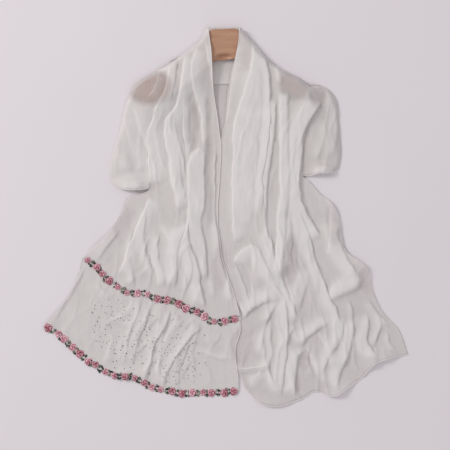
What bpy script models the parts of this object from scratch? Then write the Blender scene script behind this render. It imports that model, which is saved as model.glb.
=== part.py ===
"""A chiffon hijab laid flat over a wooden coat hanger.

The scarf is one long rectangle of chiffon. Its middle lies flat behind a plain wooden hanger, each
half comes forward over one hanger end, like a short sleeve, and the two ends hang down in front.
The left end has a beaded panel between two bands of raised embroidered roses.

Every stretch of cloth is a closed wall over a grid of sections. Its height is what it rests on (the
surface, the back stretch or the hanger) plus the folds listed below. Sizes are in millimetres:
x runs to the right from the middle line, and drop runs down from the top of the neck.
"""

from collections import namedtuple

import bpy
import numpy as np

MM = 0.001

# The scarf's cut and its cloth
WALL = 1.6                  # thickness of the cloth's solid wall
SEAM_GAP = 0.3              # between neighbouring stretches
BACK_WALL = 1.5             # the flat stretch behind the hanger
TURNED_EDGE = 1.5           # added where the neck's long edge is turned down
TURNED_DEPTH = 139.0        # how far down the turned edge reaches
BACK_CLEAR = 1.85           # underside of the fronts over the back stretch
BACK_ENDS = (435.0, 475.0)  # drops between which the fronts come down to the surface
OUTER_ROLL = 12.0           # width of the rounded fold along the outer silhouette
FOLD_END = 26.0             # length over which a fold fades out at each end
FOLD_REACH = 2.6            # a fold ends this many spreads from its route
STEEPEST = 2.0              # the wall is deepened on slopes by up to this
LEAST_WALL = 0.9            # share of the wall that is always kept
SLOPE_STEP = 1.0            # slopes are read over this distance to each side

# The hanger
HANGER_THICK = 16.0
HANGER_FLOOR = 3.3          # it lies on the turned edge of the back stretch
HANGER_CLEAR = 21.0         # underside of the cloth over the hanger
HANGER_SLOPE = 110.0        # how far from the wood the cloth takes to come down
HANGER_ROUND = 3.5          # superellipse power of its section
HANGER_FULL = 20.0          # it thins where its half width is under this
HANGER_THINNEST = 0.45
HANGER_RING = 12            # points round a section
HANGER_CUTS = 2             # sections from one rib to the next

# The embroidered bands
TRIM_HALF = 9.6             # half the width of a band
TRIM_STEP = 5.2             # length of a cell along a band
TRIM_ACROSS = 5             # cells across a band
UPPER_ROSES = 16
LOWER_ROSES = 18
ROSE_RADIUS = 9.0
ROSE_RISE = 2.6
LEAF_RADIUS = 6.0
LEAF_RISE = 1.1
LEAF_OFF = 4.0              # a leaf's middle, off the band's line

# Grids
ROW_STEP = 16.0             # length of a cell down a front
FRONT_COLUMNS = 23
EDGE_STEPS = (12.0, 6.0, 2.0)   # the last columns' distances from the outer edge
EDGE_SHARES = (0.5, 0.25, 0.1)  # the most that each may be of a narrow row
HEM_ROWS = 6                    # sections over which the left front bends to its trim
CAP_COLUMNS = 9
BACK_COLUMNS = 5
SEAM_SHARE = 0.2            # the most of a narrow row that a seam's gap takes
HEM_POWER = 1.5             # how late a front's rows bend to its hem
CAP_HEM_POWER = 3           # and a cap's
END_ROWS = 12

Section = namedtuple("Section", "inner_x inner_drop outer_x outer_drop")
Back = namedtuple("Back", "drop left_x right_x")
Rib = namedtuple("Rib", "x top_drop bottom_drop")
Fold = namedtuple("Fold", "rise spread power lean route")

LEFT_FRONT = [
    Section(-43, 6, -49, 8),
    Section(-40, 23, -56, 23),
    Section(-38, 40, -67, 37),
    Section(-35, 59, -88, 53),
    Section(-34, 76, -110, 72),
    Section(-33, 95, -137, 90),
    Section(-31, 140, -141, 128),
    Section(-27, 176, -160, 184),
    Section(-21, 212, -176, 224),
    Section(-16, 251, -182, 260),
    Section(-11, 296, -184, 299),
    Section(-14, 349, -183, 340),
    Section(-16, 388, -182, 388),
    Section(-19, 428, -206, 402),
    Section(-19, 474, -235, 412),
    Section(-14, 517, -251, 448),
    Section(-8, 560, -271, 479),
    Section(6, 604, -295, 508),
    Section(20, 647, -319, 529),
    Section(34, 697, -343, 556),
]
LEFT_CAP_JOINS = (5, 12)    # the sections of the left front that the left cap lies beside

RIGHT_FRONT = [
    Section(33, 6, 40, 8),
    Section(32, 23, 53, 23),
    Section(31, 40, 70, 42),
    Section(27, 61, 89, 66),
    Section(22, 83, 113, 89),
    Section(15, 107, 140, 106),
    Section(10, 136, 171, 121),
    Section(5, 167, 200, 143),
    Section(3, 191, 224, 181),
    Section(1, 215, 213, 208),
    Section(-2, 244, 197, 239),
    Section(-2, 275, 188, 270),
    Section(-3, 308, 185, 306),
    Section(-4, 344, 184, 356),
    Section(-7, 383, 200, 371),
    Section(-9, 421, 229, 404),
    Section(-9, 464, 257, 424),
    Section(-9, 508, 274, 460),
    Section(-3, 548, 279, 503),
    Section(11, 589, 291, 541),
    Section(28, 630, 334, 572),
    Section(39, 664, 347, 602),
    Section(42, 695, 358, 647),
    Section(36, 728, 380, 688),
    Section(25, 767, 411, 721),
    Section(24, 805, 425, 748),
    Section(47, 866, 437, 786),
]
RIGHT_CAP_JOINS = (7, 13)

# The outer silhouette of each cap, from the shoulder to the hem's corner
LEFT_CAP_EDGE = [
    (-141, 97), (-163, 106), (-187, 118), (-215, 136), (-232, 167),
    (-245, 205), (-255, 253), (-272, 301), (-279, 344), (-278, 366),
]
RIGHT_CAP_EDGE = [
    (205, 139), (231, 143), (255, 160), (268, 184), (271, 224),
    (274, 265), (277, 301), (271, 337), (262, 346),
]
# The hem of each cap, from the front outwards
LEFT_CAP_HEM = [(-182, 388), (-206, 392), (-230, 392), (-251, 389), (-268, 378), (-278, 366)]
RIGHT_CAP_HEM = [(184, 356), (200, 359), (219, 353), (241, 352), (262, 346)]

# Lines along the ends, from the inner edge outwards
UPPER_TRIM = [
    (35, 697), (13, 702), (-11, 708), (-33, 706), (-52, 694), (-86, 679), (-124, 661), (-163, 654),
    (-196, 641), (-232, 638), (-261, 623), (-285, 606), (-309, 580), (-326, 566), (-343, 556),
]
LOWER_TRIM = [
    (22, 876), (-19, 880), (-67, 882), (-115, 882), (-158, 872), (-191, 862), (-220, 846),
    (-259, 841), (-297, 826), (-340, 798), (-383, 760), (-410, 736), (-436, 718),
]
RIGHT_HEM = [
    (47, 866), (59, 881), (80, 902), (114, 911), (150, 905), (184, 892), (217, 875),
    (257, 887), (293, 866), (327, 842), (356, 810), (389, 797), (437, 786),
]
# The short edges of the beaded end panel, from the upper trim to the lower one
END_INNER = [(34, 707), (26, 733), (16, 764), (16, 796), (20, 829), (23, 868)]
END_OUTER = [(-343, 565), (-347, 596), (-367, 632), (-391, 668), (-415, 697), (-431, 714)]

# The flat stretch behind the hanger
BACK_STRETCH = [
    Back(2, -41, 33), Back(23, -43, 40), Back(40, -53, 56), Back(56, -79, 73), Back(73, -100, 88),
    Back(90, -124, 109), Back(106, -141, 130), Back(124, -170, 154), Back(138.6, -192, 178),
    Back(139.4, -193, 179), Back(158, -213, 236), Back(172, -220, 250), Back(205, -232, 258),
    Back(253, -242, 261), Back(301, -258, 264), Back(332, -264, 256), Back(349, -264, 225),
    Back(368, -256, 178), Back(388, -240, 130), Back(401, -206, 58), Back(412, -146, 22),
]

# The hanger's outline, from its left end to its right end
HANGER = [
    Rib(-222, 168, 180), Rib(-215, 152, 186), Rib(-201, 138, 191), Rib(-182, 126, 195),
    Rib(-158, 116, 184), Rib(-129, 99, 166), Rib(-95, 78, 145), Rib(-67, 56, 121),
    Rib(-47, 29, 100), Rib(-35, 10, 88), Rib(-4, 8, 82), Rib(27, 8, 81), Rib(41, 28, 92),
    Rib(63, 58, 111), Rib(92, 86, 131), Rib(121, 106, 147), Rib(149, 122, 158), Rib(173, 136, 168),
    Rib(188, 149, 172), Rib(195, 160, 169),
]

# Ridges: rise and spread in mm, power 2 for a round crest and 4 for a flat one, and lean from
# -1 to 1, which makes a falling ridge steep to its left or right
FOLDS = [
    # left front, neck down
    Fold(6, 10, 2, 0.3, [(-50, 32), (-45, 61), (-38, 95), (-33, 124), (-27, 169), (-19, 229),
                         (-14, 292)]),
    Fold(7, 12, 2, 0.1, [(-64, 42), (-74, 71), (-79, 104), (-76, 140), (-69, 172), (-62, 205),
                         (-57, 239), (-50, 277)]),
    Fold(9, 14, 2, -0.2, [(-93, 66), (-100, 95), (-103, 128), (-107, 157), (-115, 186),
                          (-127, 208), (-139, 227), (-143, 253), (-142, 284), (-136, 316),
                          (-131, 349), (-129, 383), (-122, 412), (-115, 436)]),
    Fold(7, 12, 2, 0.3, [(-117, 76), (-119, 116), (-124, 157), (-134, 181)]),
    Fold(10, 12, 2, -0.3, [(-136, 95), (-137, 124), (-143, 152), (-155, 176), (-167, 198),
                           (-175, 224), (-179, 256), (-182, 296), (-181, 344), (-179, 383)]),
    Fold(5, 10, 2, 0, [(-95, 143), (-99, 188), (-98, 248), (-93, 296), (-95, 335)]),
    Fold(5, 12, 2, 0, [(-119, 205), (-119, 248), (-115, 296), (-110, 344), (-105, 392)]),
    Fold(10, 14, 2, -0.3, [(-50, 272), (-62, 287), (-74, 299), (-86, 316), (-83, 344), (-88, 380),
                           (-88, 416), (-86, 452), (-91, 484), (-100, 508), (-115, 529)]),
    Fold(9, 17, 2, 0.3, [(-67, 332), (-69, 380), (-73, 428), (-76, 476), (-74, 524), (-67, 565),
                         (-59, 608), (-52, 656)]),
    Fold(6, 10, 2, 0.2, [(-35, 176), (-35, 248), (-38, 320), (-43, 392), (-43, 464), (-38, 536),
                         (-28, 608), (-9, 666)]),
    Fold(7, 12, 2, 0.3, [(-191, 431), (-199, 450), (-211, 469), (-225, 493), (-237, 527),
                         (-251, 560)]),
    Fold(8, 14, 2, 0.2, [(-182, 397), (-189, 431), (-196, 469), (-201, 508), (-199, 541),
                         (-199, 575), (-211, 608)]),
    Fold(8, 14, 2, -0.2, [(-141, 388), (-148, 426), (-148, 464), (-139, 498), (-127, 527),
                          (-122, 560), (-124, 599), (-129, 642)]),
    Fold(6, 12, 2, 0.2, [(-167, 407), (-172, 450), (-177, 493), (-179, 532), (-172, 570),
                         (-167, 608), (-167, 637)]),
    Fold(8, 12, 2, 0.2, [(-115, 431), (-107, 464), (-110, 503), (-103, 541), (-91, 580),
                         (-86, 618), (-91, 656)]),
    Fold(5, 12, 2, 0, [(-230, 450), (-251, 488), (-278, 522), (-304, 556)]),
    # end panel
    Fold(8, 12, 2, 0.2, [(-343, 570), (-352, 608), (-371, 642), (-393, 676), (-412, 704)]),
    Fold(5, 14, 2, 0.1, [(-278, 628), (-285, 661), (-299, 700), (-316, 743)]),
    Fold(8, 12, 2, 0.3, [(-187, 642), (-194, 666), (-206, 695), (-220, 733), (-230, 767),
                         (-237, 805), (-239, 834)]),
    Fold(9, 12, 2, 0.5, [(-117, 664), (-124, 690), (-139, 716), (-151, 748), (-160, 781),
                         (-172, 815), (-184, 848)]),
    Fold(8, 12, 2, 0.3, [(-55, 690), (-67, 719), (-88, 748), (-110, 776), (-127, 805), (-139, 839),
                         (-148, 872)]),
    Fold(5, 12, 2, 0, [(-35, 714), (-50, 738), (-64, 757), (-67, 786), (-47, 815), (-38, 848)]),
    Fold(7, 12, 2, 0.2, [(15, 700), (3, 738), (-11, 776), (-21, 820), (-28, 868)]),
    # right front
    Fold(10, 14, 2, 0.1, [(41, 13), (53, 32), (63, 56), (63, 90), (61, 124), (53, 157), (44, 186),
                          (37, 215), (27, 244), (22, 277), (21, 320), (22, 380), (23, 440),
                          (21, 500), (17, 541)]),
    Fold(6, 22, 4, 0.3, [(73, 76), (82, 116), (87, 164), (77, 224), (68, 284), (63, 344),
                         (58, 404), (53, 452), (49, 493)]),
    Fold(8, 10, 2, 0.5, [(89, 76), (101, 104), (106, 138), (106, 176), (101, 212), (97, 253),
                         (93, 296), (89, 335), (87, 378), (86, 416), (82, 450), (75, 488)]),
    Fold(5, 7, 2, 0, [(113, 95), (123, 104), (128, 126), (121, 145)]),
    Fold(9, 10, 4, 0.3, [(139, 148), (139, 200), (140, 260), (140, 320), (140, 380), (139, 428),
                         (133, 455), (121, 479)]),
    Fold(5, 10, 2, 0.2, [(121, 188), (113, 236), (106, 284), (101, 316)]),
    Fold(6, 12, 2, 0.2, [(193, 196), (181, 215), (166, 239), (157, 272), (154, 308), (157, 349),
                         (161, 392), (171, 428)]),
    Fold(13, 12, 2, 0.5, [(224, 186), (217, 205), (205, 227), (193, 251), (185, 284), (183, 320),
                          (181, 356), (182, 392), (185, 424), (195, 452), (207, 484), (217, 517),
                          (224, 551)]),
    Fold(9, 14, 2, 0.3, [(99, 368), (92, 402), (86, 436), (89, 464), (104, 488), (116, 520),
                         (125, 556), (133, 596), (142, 632), (157, 671), (173, 709)]),
    Fold(8, 14, 2, 0.3, [(164, 440), (178, 464), (193, 493), (205, 520), (214, 551), (221, 589),
                         (229, 632), (231, 666)]),
    Fold(9, 17, 2, 0, [(238, 412), (248, 440), (255, 474), (265, 508), (274, 541), (289, 570),
                       (310, 594)]),
    Fold(12, 14, 2, 0.2, [(17, 570), (27, 553), (41, 534), (58, 528), (75, 536), (89, 560),
                          (101, 589), (118, 618)]),
    Fold(9, 14, 2, 0, [(37, 719), (56, 716), (75, 704), (92, 688), (106, 668), (121, 649)]),
    Fold(10, 14, 2, 0.3, [(121, 656), (109, 685), (99, 719), (92, 752), (89, 781), (87, 810)]),
    Fold(8, 12, 2, 0.2, [(142, 652), (145, 695), (145, 738), (140, 781), (135, 834), (133, 882)]),
    Fold(8, 14, 2, 0.3, [(166, 728), (157, 762), (149, 796), (142, 839), (140, 887)]),
    Fold(8, 14, 2, 0.2, [(188, 757), (200, 796), (217, 834), (236, 868), (255, 884)]),
    Fold(8, 14, 2, 0.1, [(286, 685), (284, 724), (269, 762), (255, 796), (250, 824)]),
    Fold(12, 17, 2, 0.1, [(325, 601), (308, 625), (286, 637), (265, 649), (241, 652)]),
    Fold(9, 14, 2, 0.3, [(337, 692), (332, 728), (339, 762), (351, 786), (356, 805)]),
    Fold(8, 14, 2, 0, [(293, 656), (327, 685), (356, 709), (385, 738), (413, 767)]),
    # left cap
    Fold(5, 10, 2, 0.2, [(-158, 116), (-165, 138), (-175, 155)]),
    Fold(6, 14, 2, 0.2, [(-223, 191), (-208, 224), (-194, 260), (-189, 296)]),
    Fold(6, 17, 2, 0, [(-259, 296), (-242, 320), (-227, 349), (-213, 368)]),
    Fold(8, 14, 2, 0, [(-196, 383), (-225, 383), (-251, 376)]),
    # right cap
    Fold(5, 14, 2, 0.1, [(238, 152), (255, 181), (260, 220), (257, 272), (253, 316)]),
    Fold(7, 14, 2, 0, [(200, 352), (224, 344), (250, 340)]),
]

# Broad soft hills that keep the gathered cloth off the surface
HILLS = [
    Fold(5, 55, 2, 0, [(-110, 250), (-110, 400), (-110, 520), (-100, 620)]),
    Fold(6, 60, 2, 0, [(100, 200), (90, 350), (110, 480), (150, 600)]),
    Fold(4, 45, 2, 0, [(230, 470), (270, 600), (300, 700)]),
    Fold(4, 40, 2, 0, [(-250, 230), (-235, 300), (-230, 360)]),
    Fold(4, 35, 2, 0, [(245, 230), (245, 300), (235, 340)]),
]

SMOOTHING = 5               # samples between two points of a route


def smooth_line(points, at):
    """A Catmull-Rom curve through the points, read at positions counted in points."""
    points = np.asarray(points, float)
    ends = np.vstack([2 * points[0] - points[1], points, 2 * points[-1] - points[-2]])
    at = np.clip(np.asarray(at, float), 0, len(points) - 1)
    k = np.minimum(at.astype(int), len(points) - 2)
    u = (at - k)[:, None]
    a, b, c, d = ends[k], ends[k + 1], ends[k + 2], ends[k + 3]
    return 0.5 * (2 * b + (c - a) * u + (2 * a - 5 * b + 4 * c - d) * u**2 + (3 * b - a - 3 * c + d) * u**3)


def smoothed(points, step=SMOOTHING):
    """The whole Catmull-Rom curve, with a few samples to each stretch."""
    return smooth_line(points, np.linspace(0, len(points) - 1, step * (len(points) - 1) + 1))


def read_by_length(points, shares):
    """Places on a smooth curve at shares of its length."""
    line = smoothed(points, 12)
    along = np.concatenate([[0], np.cumsum(np.linalg.norm(np.diff(line, axis=0), axis=1))])
    return np.column_stack([np.interp(np.asarray(shares) * along[-1], along, line[:, i]) for i in (0, 1)])


def nearest(x, drop, line):
    """Each place's distance to a line, which side it is on, and how far along the nearest point is."""
    shape = x.shape
    place = np.stack([x.ravel(), drop.ravel()], axis=1)[:, None]
    start, run = line[:-1], np.diff(line, axis=0)
    length = np.linalg.norm(run, axis=1)
    u = np.clip(((place - start) * run).sum(-1) / length**2, 0, 1)
    away = place - (start + u[..., None] * run)
    apart = np.linalg.norm(away, axis=-1)
    best = apart.argmin(axis=1)
    rows = np.arange(len(best))
    before = np.concatenate([[0], np.cumsum(length)])
    along = (before[best] + u[rows, best] * length[best]) / before[-1]
    side = run[best, 1] * away[rows, best, 0] - run[best, 0] * away[rows, best, 1]
    return apart[rows, best].reshape(shape), np.sign(side).reshape(shape), along.reshape(shape)


def lift(x, drop, folds):
    """The folds' height: bell-shaped ridges, steeper on one side, fading out at their ends."""
    total = np.zeros_like(x)
    for fold in folds:
        line = smoothed(fold.route)
        reach = FOLD_REACH * fold.spread
        (left, high), (right, low) = line.min(axis=0) - reach, line.max(axis=0) + reach
        near = (x > left) & (x < right) & (drop > high) & (drop < low)
        apart, side, along = nearest(x[near], drop[near], line)
        width = fold.spread * (1 - side * fold.lean)
        length = np.linalg.norm(np.diff(line, axis=0), axis=1).sum()
        fade = smooth_step(np.minimum(along, 1 - along) * length, 0, FOLD_END)
        total[near] += (fold.rise * fade * np.exp(-(apart / width) ** fold.power)) ** 2
    return np.sqrt(total)


def smooth_step(value, low, high):
    u = np.clip((value - low) / (high - low), 0, 1)
    return u * u * (3 - 2 * u)


def hanger_outline(cuts=SMOOTHING):
    top = smoothed([(rib.x, rib.top_drop) for rib in HANGER], cuts)
    bottom = smoothed([(rib.x, rib.bottom_drop) for rib in HANGER], cuts)
    return top, bottom


def rest_height(x, drop):
    """The lowest that the cloth's underside can lie: surface, back stretch or hanger."""
    top, bottom = hanger_outline()
    upper = np.interp(x, top[:, 0], top[:, 1])
    lower = np.interp(x, bottom[:, 0], bottom[:, 1])
    over = (x > top[0, 0]) & (x < top[-1, 0]) & (drop > upper) & (drop < lower)
    ring = np.vstack([top, bottom[::-1], top[:1]])
    away = np.where(over, 0, nearest(x, drop, ring)[0])
    slope = np.clip(1 - away / HANGER_SLOPE, 0, 1) ** 2
    lie = BACK_CLEAR * (1 - smooth_step(drop, *BACK_ENDS))
    return lie + (HANGER_CLEAR - lie) * slope


def outer_edge(sections):
    return [(s.outer_x, s.outer_drop) for s in sections]


def silhouettes():
    """The folded outer edges, from the neck round each shoulder to the cap's hem."""
    left = outer_edge(LEFT_FRONT[: LEFT_CAP_JOINS[0] + 1]) + LEFT_CAP_EDGE[1:]
    right = outer_edge(RIGHT_FRONT[: RIGHT_CAP_JOINS[0] + 1]) + RIGHT_CAP_EDGE[1:]
    return [smoothed(left, 8), smoothed(right, 8)]


def raised_top(x, drop):
    return rest_height(x, drop) + WALL + lift(x, drop, FOLDS) + lift(x, drop, HILLS)


def rounded(inset):
    """A quarter ellipse: 0 at the outer silhouette, 1 from OUTER_ROLL inwards."""
    return np.sqrt(1 - (1 - np.clip(inset / OUTER_ROLL, 0, 1)) ** 2)


def cloth_heights(x, drop):
    """The wall's top and underside at each place."""
    top = raised_top(x, drop)
    step = SLOPE_STEP
    along_x = (raised_top(x + step, drop) - raised_top(x - step, drop)) / (2 * step)
    along_drop = (raised_top(x, drop + step) - raised_top(x, drop - step)) / (2 * step)
    upright = WALL * np.minimum(np.sqrt(1 + along_x**2 + along_drop**2), STEEPEST)
    under = np.maximum(rest_height(x, drop), top - upright)
    inset = np.min([nearest(x, drop, line)[0] for line in silhouettes()], axis=0)
    top = WALL + (top - WALL) * rounded(inset)
    under = under * rounded(inset - WALL)
    return top, np.minimum(under, top - WALL * LEAST_WALL)


def grid_faces(rows, columns):
    """Triangles of a grid, counter-clockwise where columns turn to rows."""
    k = np.arange(rows * columns).reshape(rows, columns)
    a, b, c, d = k[:-1, :-1].ravel(), k[:-1, 1:].ravel(), k[1:, 1:].ravel(), k[1:, :-1].ravel()
    return np.concatenate([np.stack([a, b, c], 1), np.stack([a, c, d], 1)])


def closed_wall(x, drop, top, under):
    """A closed wall between two heights over the same grid."""
    rows, columns = x.shape
    if x[0, -1] > x[0, 0]:
        x, drop, top, under = (part[:, ::-1] for part in (x, drop, top, under))
    upper = np.stack([x, -drop, top], axis=-1).reshape(-1, 3)
    lower = np.stack([x, -drop, under], axis=-1).reshape(-1, 3)
    count = rows * columns
    faces = grid_faces(rows, columns)
    k = np.arange(count).reshape(rows, columns)
    rim = np.concatenate([k[0, :-1], k[:-1, -1], k[-1, :0:-1], k[:0:-1, 0]])
    after = np.roll(rim, -1)
    sides = np.concatenate([
        np.stack([rim, rim + count, after + count], 1),
        np.stack([rim, after + count, after], 1),
    ])
    return np.vstack([upper, lower]), np.concatenate([faces, faces[:, ::-1] + count, sides])


def row_positions(sections, joins):
    """Rows about ROW_STEP apart down the middle, with one on each join."""
    middle = [((s.inner_x + s.outer_x) / 2, (s.inner_drop + s.outer_drop) / 2) for s in sections]
    stops = [0, *joins, len(sections) - 1]
    rows = [[0.0]]
    for start, end in zip(stops, stops[1:]):
        line = smooth_line(middle, np.linspace(start, end, 50))
        count = max(2, round(np.linalg.norm(np.diff(line, axis=0), axis=1).sum() / ROW_STEP))
        rows.append(np.linspace(start, end, count + 1)[1:])
    return np.concatenate(rows)


def column_shares(widths, columns):
    """Even columns, with the last ones close to the outer edge to carry its rounded fold."""
    steps = np.array(EDGE_STEPS + (0.0,))
    near_edge = 1 - np.minimum(steps / widths[:, None], EDGE_SHARES + (0.0,))
    even = np.linspace(0, 1, columns - len(EDGE_STEPS))[:-1]
    return np.hstack([even * near_edge[:, :1], near_edge])


def front_grid(sections, joins, hem):
    """A front's grid, with its last row bent to the hem's line."""
    at = row_positions(sections, joins)
    inner = smooth_line([(s.inner_x, s.inner_drop) for s in sections], at)
    outer = smooth_line(outer_edge(sections), at)
    shares = column_shares(np.linalg.norm(outer - inner, axis=1), FRONT_COLUMNS)
    grid = inner[:, None] + shares[..., None] * (outer - inner)[:, None]
    last = shares[-1]
    bend = read_by_length(hem, last) - (hem[0] + last[:, None] * (np.subtract(hem[-1], hem[0])))
    drawn = smooth_step(at, joins[1], len(sections) - 1) ** HEM_POWER
    return grid + drawn[:, None, None] * bend, at, last


def shifted(line, by):
    """A line moved sideways, down the scarf where by is positive."""
    run = np.gradient(line, axis=0)
    run /= np.linalg.norm(run, axis=1)[:, None]
    return line + by * np.stack([run[:, 1], -run[:, 0]], axis=1)


def left_front():
    grid, at, shares = front_grid(LEFT_FRONT, LEFT_CAP_JOINS, UPPER_TRIM)
    hem = shifted(read_by_length(UPPER_TRIM, shares), -(TRIM_HALF + SEAM_GAP))
    drawn = smooth_step(at, len(LEFT_FRONT) - 1 - HEM_ROWS, len(LEFT_FRONT) - 1)
    return grid + drawn[:, None, None] * (hem - grid[-1]), at, shares


def right_front():
    return front_grid(RIGHT_FRONT, RIGHT_CAP_JOINS, RIGHT_HEM)


def cap_grid(front, at, joins, edge, hem):
    """A cap's grid, from the front's outer edge to the silhouette, ending on its hem."""
    beside = front[(at >= joins[0]) & (at <= joins[1]), -1]
    outer = read_by_length(edge, np.linspace(0, 1, len(beside)))
    across = outer - beside
    widths = np.linalg.norm(across, axis=1)
    gap = np.minimum(SEAM_GAP / widths, SEAM_SHARE)[:, None]
    shares = column_shares(widths, CAP_COLUMNS)
    shares = gap + (1 - gap) * shares
    grid = beside[:, None] + shares[..., None] * across[:, None]
    last = shares[-1]
    bend = read_by_length(hem, last) - (hem[0] + last[:, None] * np.subtract(hem[-1], hem[0]))
    drawn = np.linspace(0, 1, len(beside)) ** CAP_HEM_POWER
    return grid + drawn[:, None, None] * bend


def end_grid(shares):
    """The beaded panel, from below the upper band to above the lower band."""
    top = shifted(read_by_length(UPPER_TRIM, shares), TRIM_HALF + SEAM_GAP)
    bottom = shifted(read_by_length(LOWER_TRIM, shares), -(TRIM_HALF + SEAM_GAP))
    down = np.linspace(0, 1, END_ROWS + 1)
    straight = top[None] + down[:, None, None] * (bottom - top)[None]
    inner = read_by_length(END_INNER, down) - straight[:, 0]
    outer = read_by_length(END_OUTER, down) - straight[:, -1]
    settle = np.sin(np.pi * down)[:, None]
    return straight + settle[..., None] * (
        (1 - shares)[None, :, None] * inner[:, None] + shares[None, :, None] * outer[:, None]
    )


def band(line, shares, roses):
    """An embroidered band: a wall along the line, with raised roses and leaves on a plain inside."""
    knots = read_by_length(line, shares)
    edges = [shifted(knots, by) for by in (-TRIM_HALF, TRIM_HALF)]
    run = np.concatenate([[0], np.cumsum(np.linalg.norm(np.diff(knots, axis=0), axis=1))])
    places = [np.linspace(a, b, max(1, round((b - a) / TRIM_STEP)) + 1)[:-1] for a, b in zip(run, run[1:])]
    places = np.append(np.concatenate(places), run[-1])
    upper, lower = (np.column_stack([np.interp(places, run, e[:, i]) for i in (0, 1)]) for e in edges)
    across = np.linspace(0, 1, TRIM_ACROSS + 1)
    grid = upper[:, None] + across[None, :, None] * (lower - upper)[:, None]
    x, drop = grid[..., 0], grid[..., 1]
    top, under = cloth_heights(x, drop)
    top = top + embroidery(places[:, None], (across - 0.5)[None] * 2 * TRIM_HALF, run[-1], roses)
    under = under[:, :1] + across * (under[:, -1:] - under[:, :1])
    return closed_band(x, drop, np.maximum(top, under + WALL), under)


def embroidery(along, off, length, roses):
    """Domes for the roses, with a pair of lower leaves between two roses."""
    pitch = length / roses
    rose = (np.mod(along, pitch) - pitch / 2) / ROSE_RADIUS
    leaf = (np.mod(along + pitch / 2, pitch) - pitch / 2) / LEAF_RADIUS
    dome = ROSE_RISE * np.sqrt(np.clip(1 - rose**2 - (off / ROSE_RADIUS) ** 2, 0, 1))
    sprig = LEAF_RISE * np.sqrt(np.clip(1 - leaf**2 - ((np.abs(off) - LEAF_OFF) / LEAF_RADIUS) ** 2, 0, 1))
    return np.maximum(dome, sprig)


def closed_band(x, drop, top, under):
    """A wall with a full grid above and one strip of faces below."""
    rows, columns = x.shape
    x, drop, top, under = (part[:, ::-1] for part in (x, drop, top, under))
    upper = np.stack([x, -drop, top], axis=-1).reshape(-1, 3)
    edge = [0, columns - 1]
    lower = np.stack([x[:, edge], -drop[:, edge], under[:, edge]], axis=-1).reshape(-1, 3)
    k = np.arange(rows * columns).reshape(rows, columns)
    low = rows * columns + np.arange(rows * 2).reshape(rows, 2)
    faces = [list(f) for f in grid_faces(rows, columns)]
    faces += [list(f[::-1] + rows * columns) for f in grid_faces(rows, 2)]
    for j, e in ((0, 0), (columns - 1, 1)):
        a, b = (k[1:, j], k[:-1, j]) if j == 0 else (k[:-1, j], k[1:, j])
        c, d = (low[1:, e], low[:-1, e]) if j == 0 else (low[:-1, e], low[1:, e])
        faces += [list(f) for f in np.concatenate([np.stack([a, c, d], 1), np.stack([a, d, b], 1)])]
    faces += fan(low[0, 0], k[0], low[0, 1]) + fan(low[-1, 1], k[-1, ::-1], low[-1, 0])
    return np.vstack([upper, lower]), faces


def fan(first, row, last):
    """Triangles that close one end of a band."""
    ring = [*row, last]
    return [[first, b, a] for a, b in zip(ring, ring[1:])]


def back_grid():
    """The flat back stretch, with its long edge turned down behind the neck."""
    columns = np.linspace(0, 1, BACK_COLUMNS)
    left = np.array([row.left_x for row in BACK_STRETCH], float)
    right = np.array([row.right_x for row in BACK_STRETCH], float)
    x = left[:, None] + columns * (right - left)[:, None]
    drop = np.repeat([[row.drop] for row in BACK_STRETCH], len(columns), axis=1).astype(float)
    top = BACK_WALL + TURNED_EDGE * (drop < TURNED_DEPTH)
    return x, drop, top, np.zeros_like(x)


def hanger_shape():
    """Rings of superellipse sections across the wood, closed at both ends."""
    top, bottom = hanger_outline(HANGER_CUTS)
    centre, half = (top[:, 1] + bottom[:, 1]) / 2, (bottom[:, 1] - top[:, 1]) / 2
    x = top[:, 0]
    thick = HANGER_THICK / 2 * np.sqrt(np.clip(half / HANGER_FULL, HANGER_THINNEST, 1))
    angle = np.linspace(0, 2 * np.pi, HANGER_RING, endpoint=False)
    curve = [np.sign(f) * np.abs(f) ** (2 / HANGER_ROUND) for f in (np.cos(angle), np.sin(angle))]
    middle = HANGER_FLOOR + HANGER_THICK / 2
    points = np.stack([
        np.repeat(x[:, None], HANGER_RING, axis=1),
        -(centre[:, None] + half[:, None] * curve[0]),
        middle + thick[:, None] * curve[1],
    ], axis=-1)
    rows = len(x)
    k = np.arange(rows * HANGER_RING).reshape(rows, HANGER_RING)
    following = np.roll(k, -1, axis=1)
    a, b, c, d = k[:-1].ravel(), following[:-1].ravel(), following[1:].ravel(), k[1:].ravel()
    faces = [list(f) for f in np.concatenate([np.stack([a, c, b], 1), np.stack([a, d, c], 1)])]
    faces += [list(k[0]), list(k[-1][::-1])]
    return points.reshape(-1, 3), faces


def material(name, colour, roughness):
    made = bpy.data.materials.new(name)
    made.use_nodes = True
    shader = made.node_tree.nodes["Principled BSDF"]
    shader.inputs["Base Color"].default_value = (*colour, 1)
    shader.inputs["Roughness"].default_value = roughness
    shader.inputs["Metallic"].default_value = 0
    made.diffuse_color = (*colour, 1)
    return made


def add_object(name, points, faces, colour, roughness):
    mesh = bpy.data.meshes.new(name)
    mesh.from_pydata((points * MM).tolist(), [], [[int(i) for i in face] for face in faces])
    mesh.validate()
    mesh.materials.append(material(name, colour, roughness))
    made = bpy.data.objects.new(name, mesh)
    bpy.context.scene.collection.objects.link(made)
    mesh.shade_smooth()
    mesh.set_sharp_from_angle(angle=np.radians(40))
    return made


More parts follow.
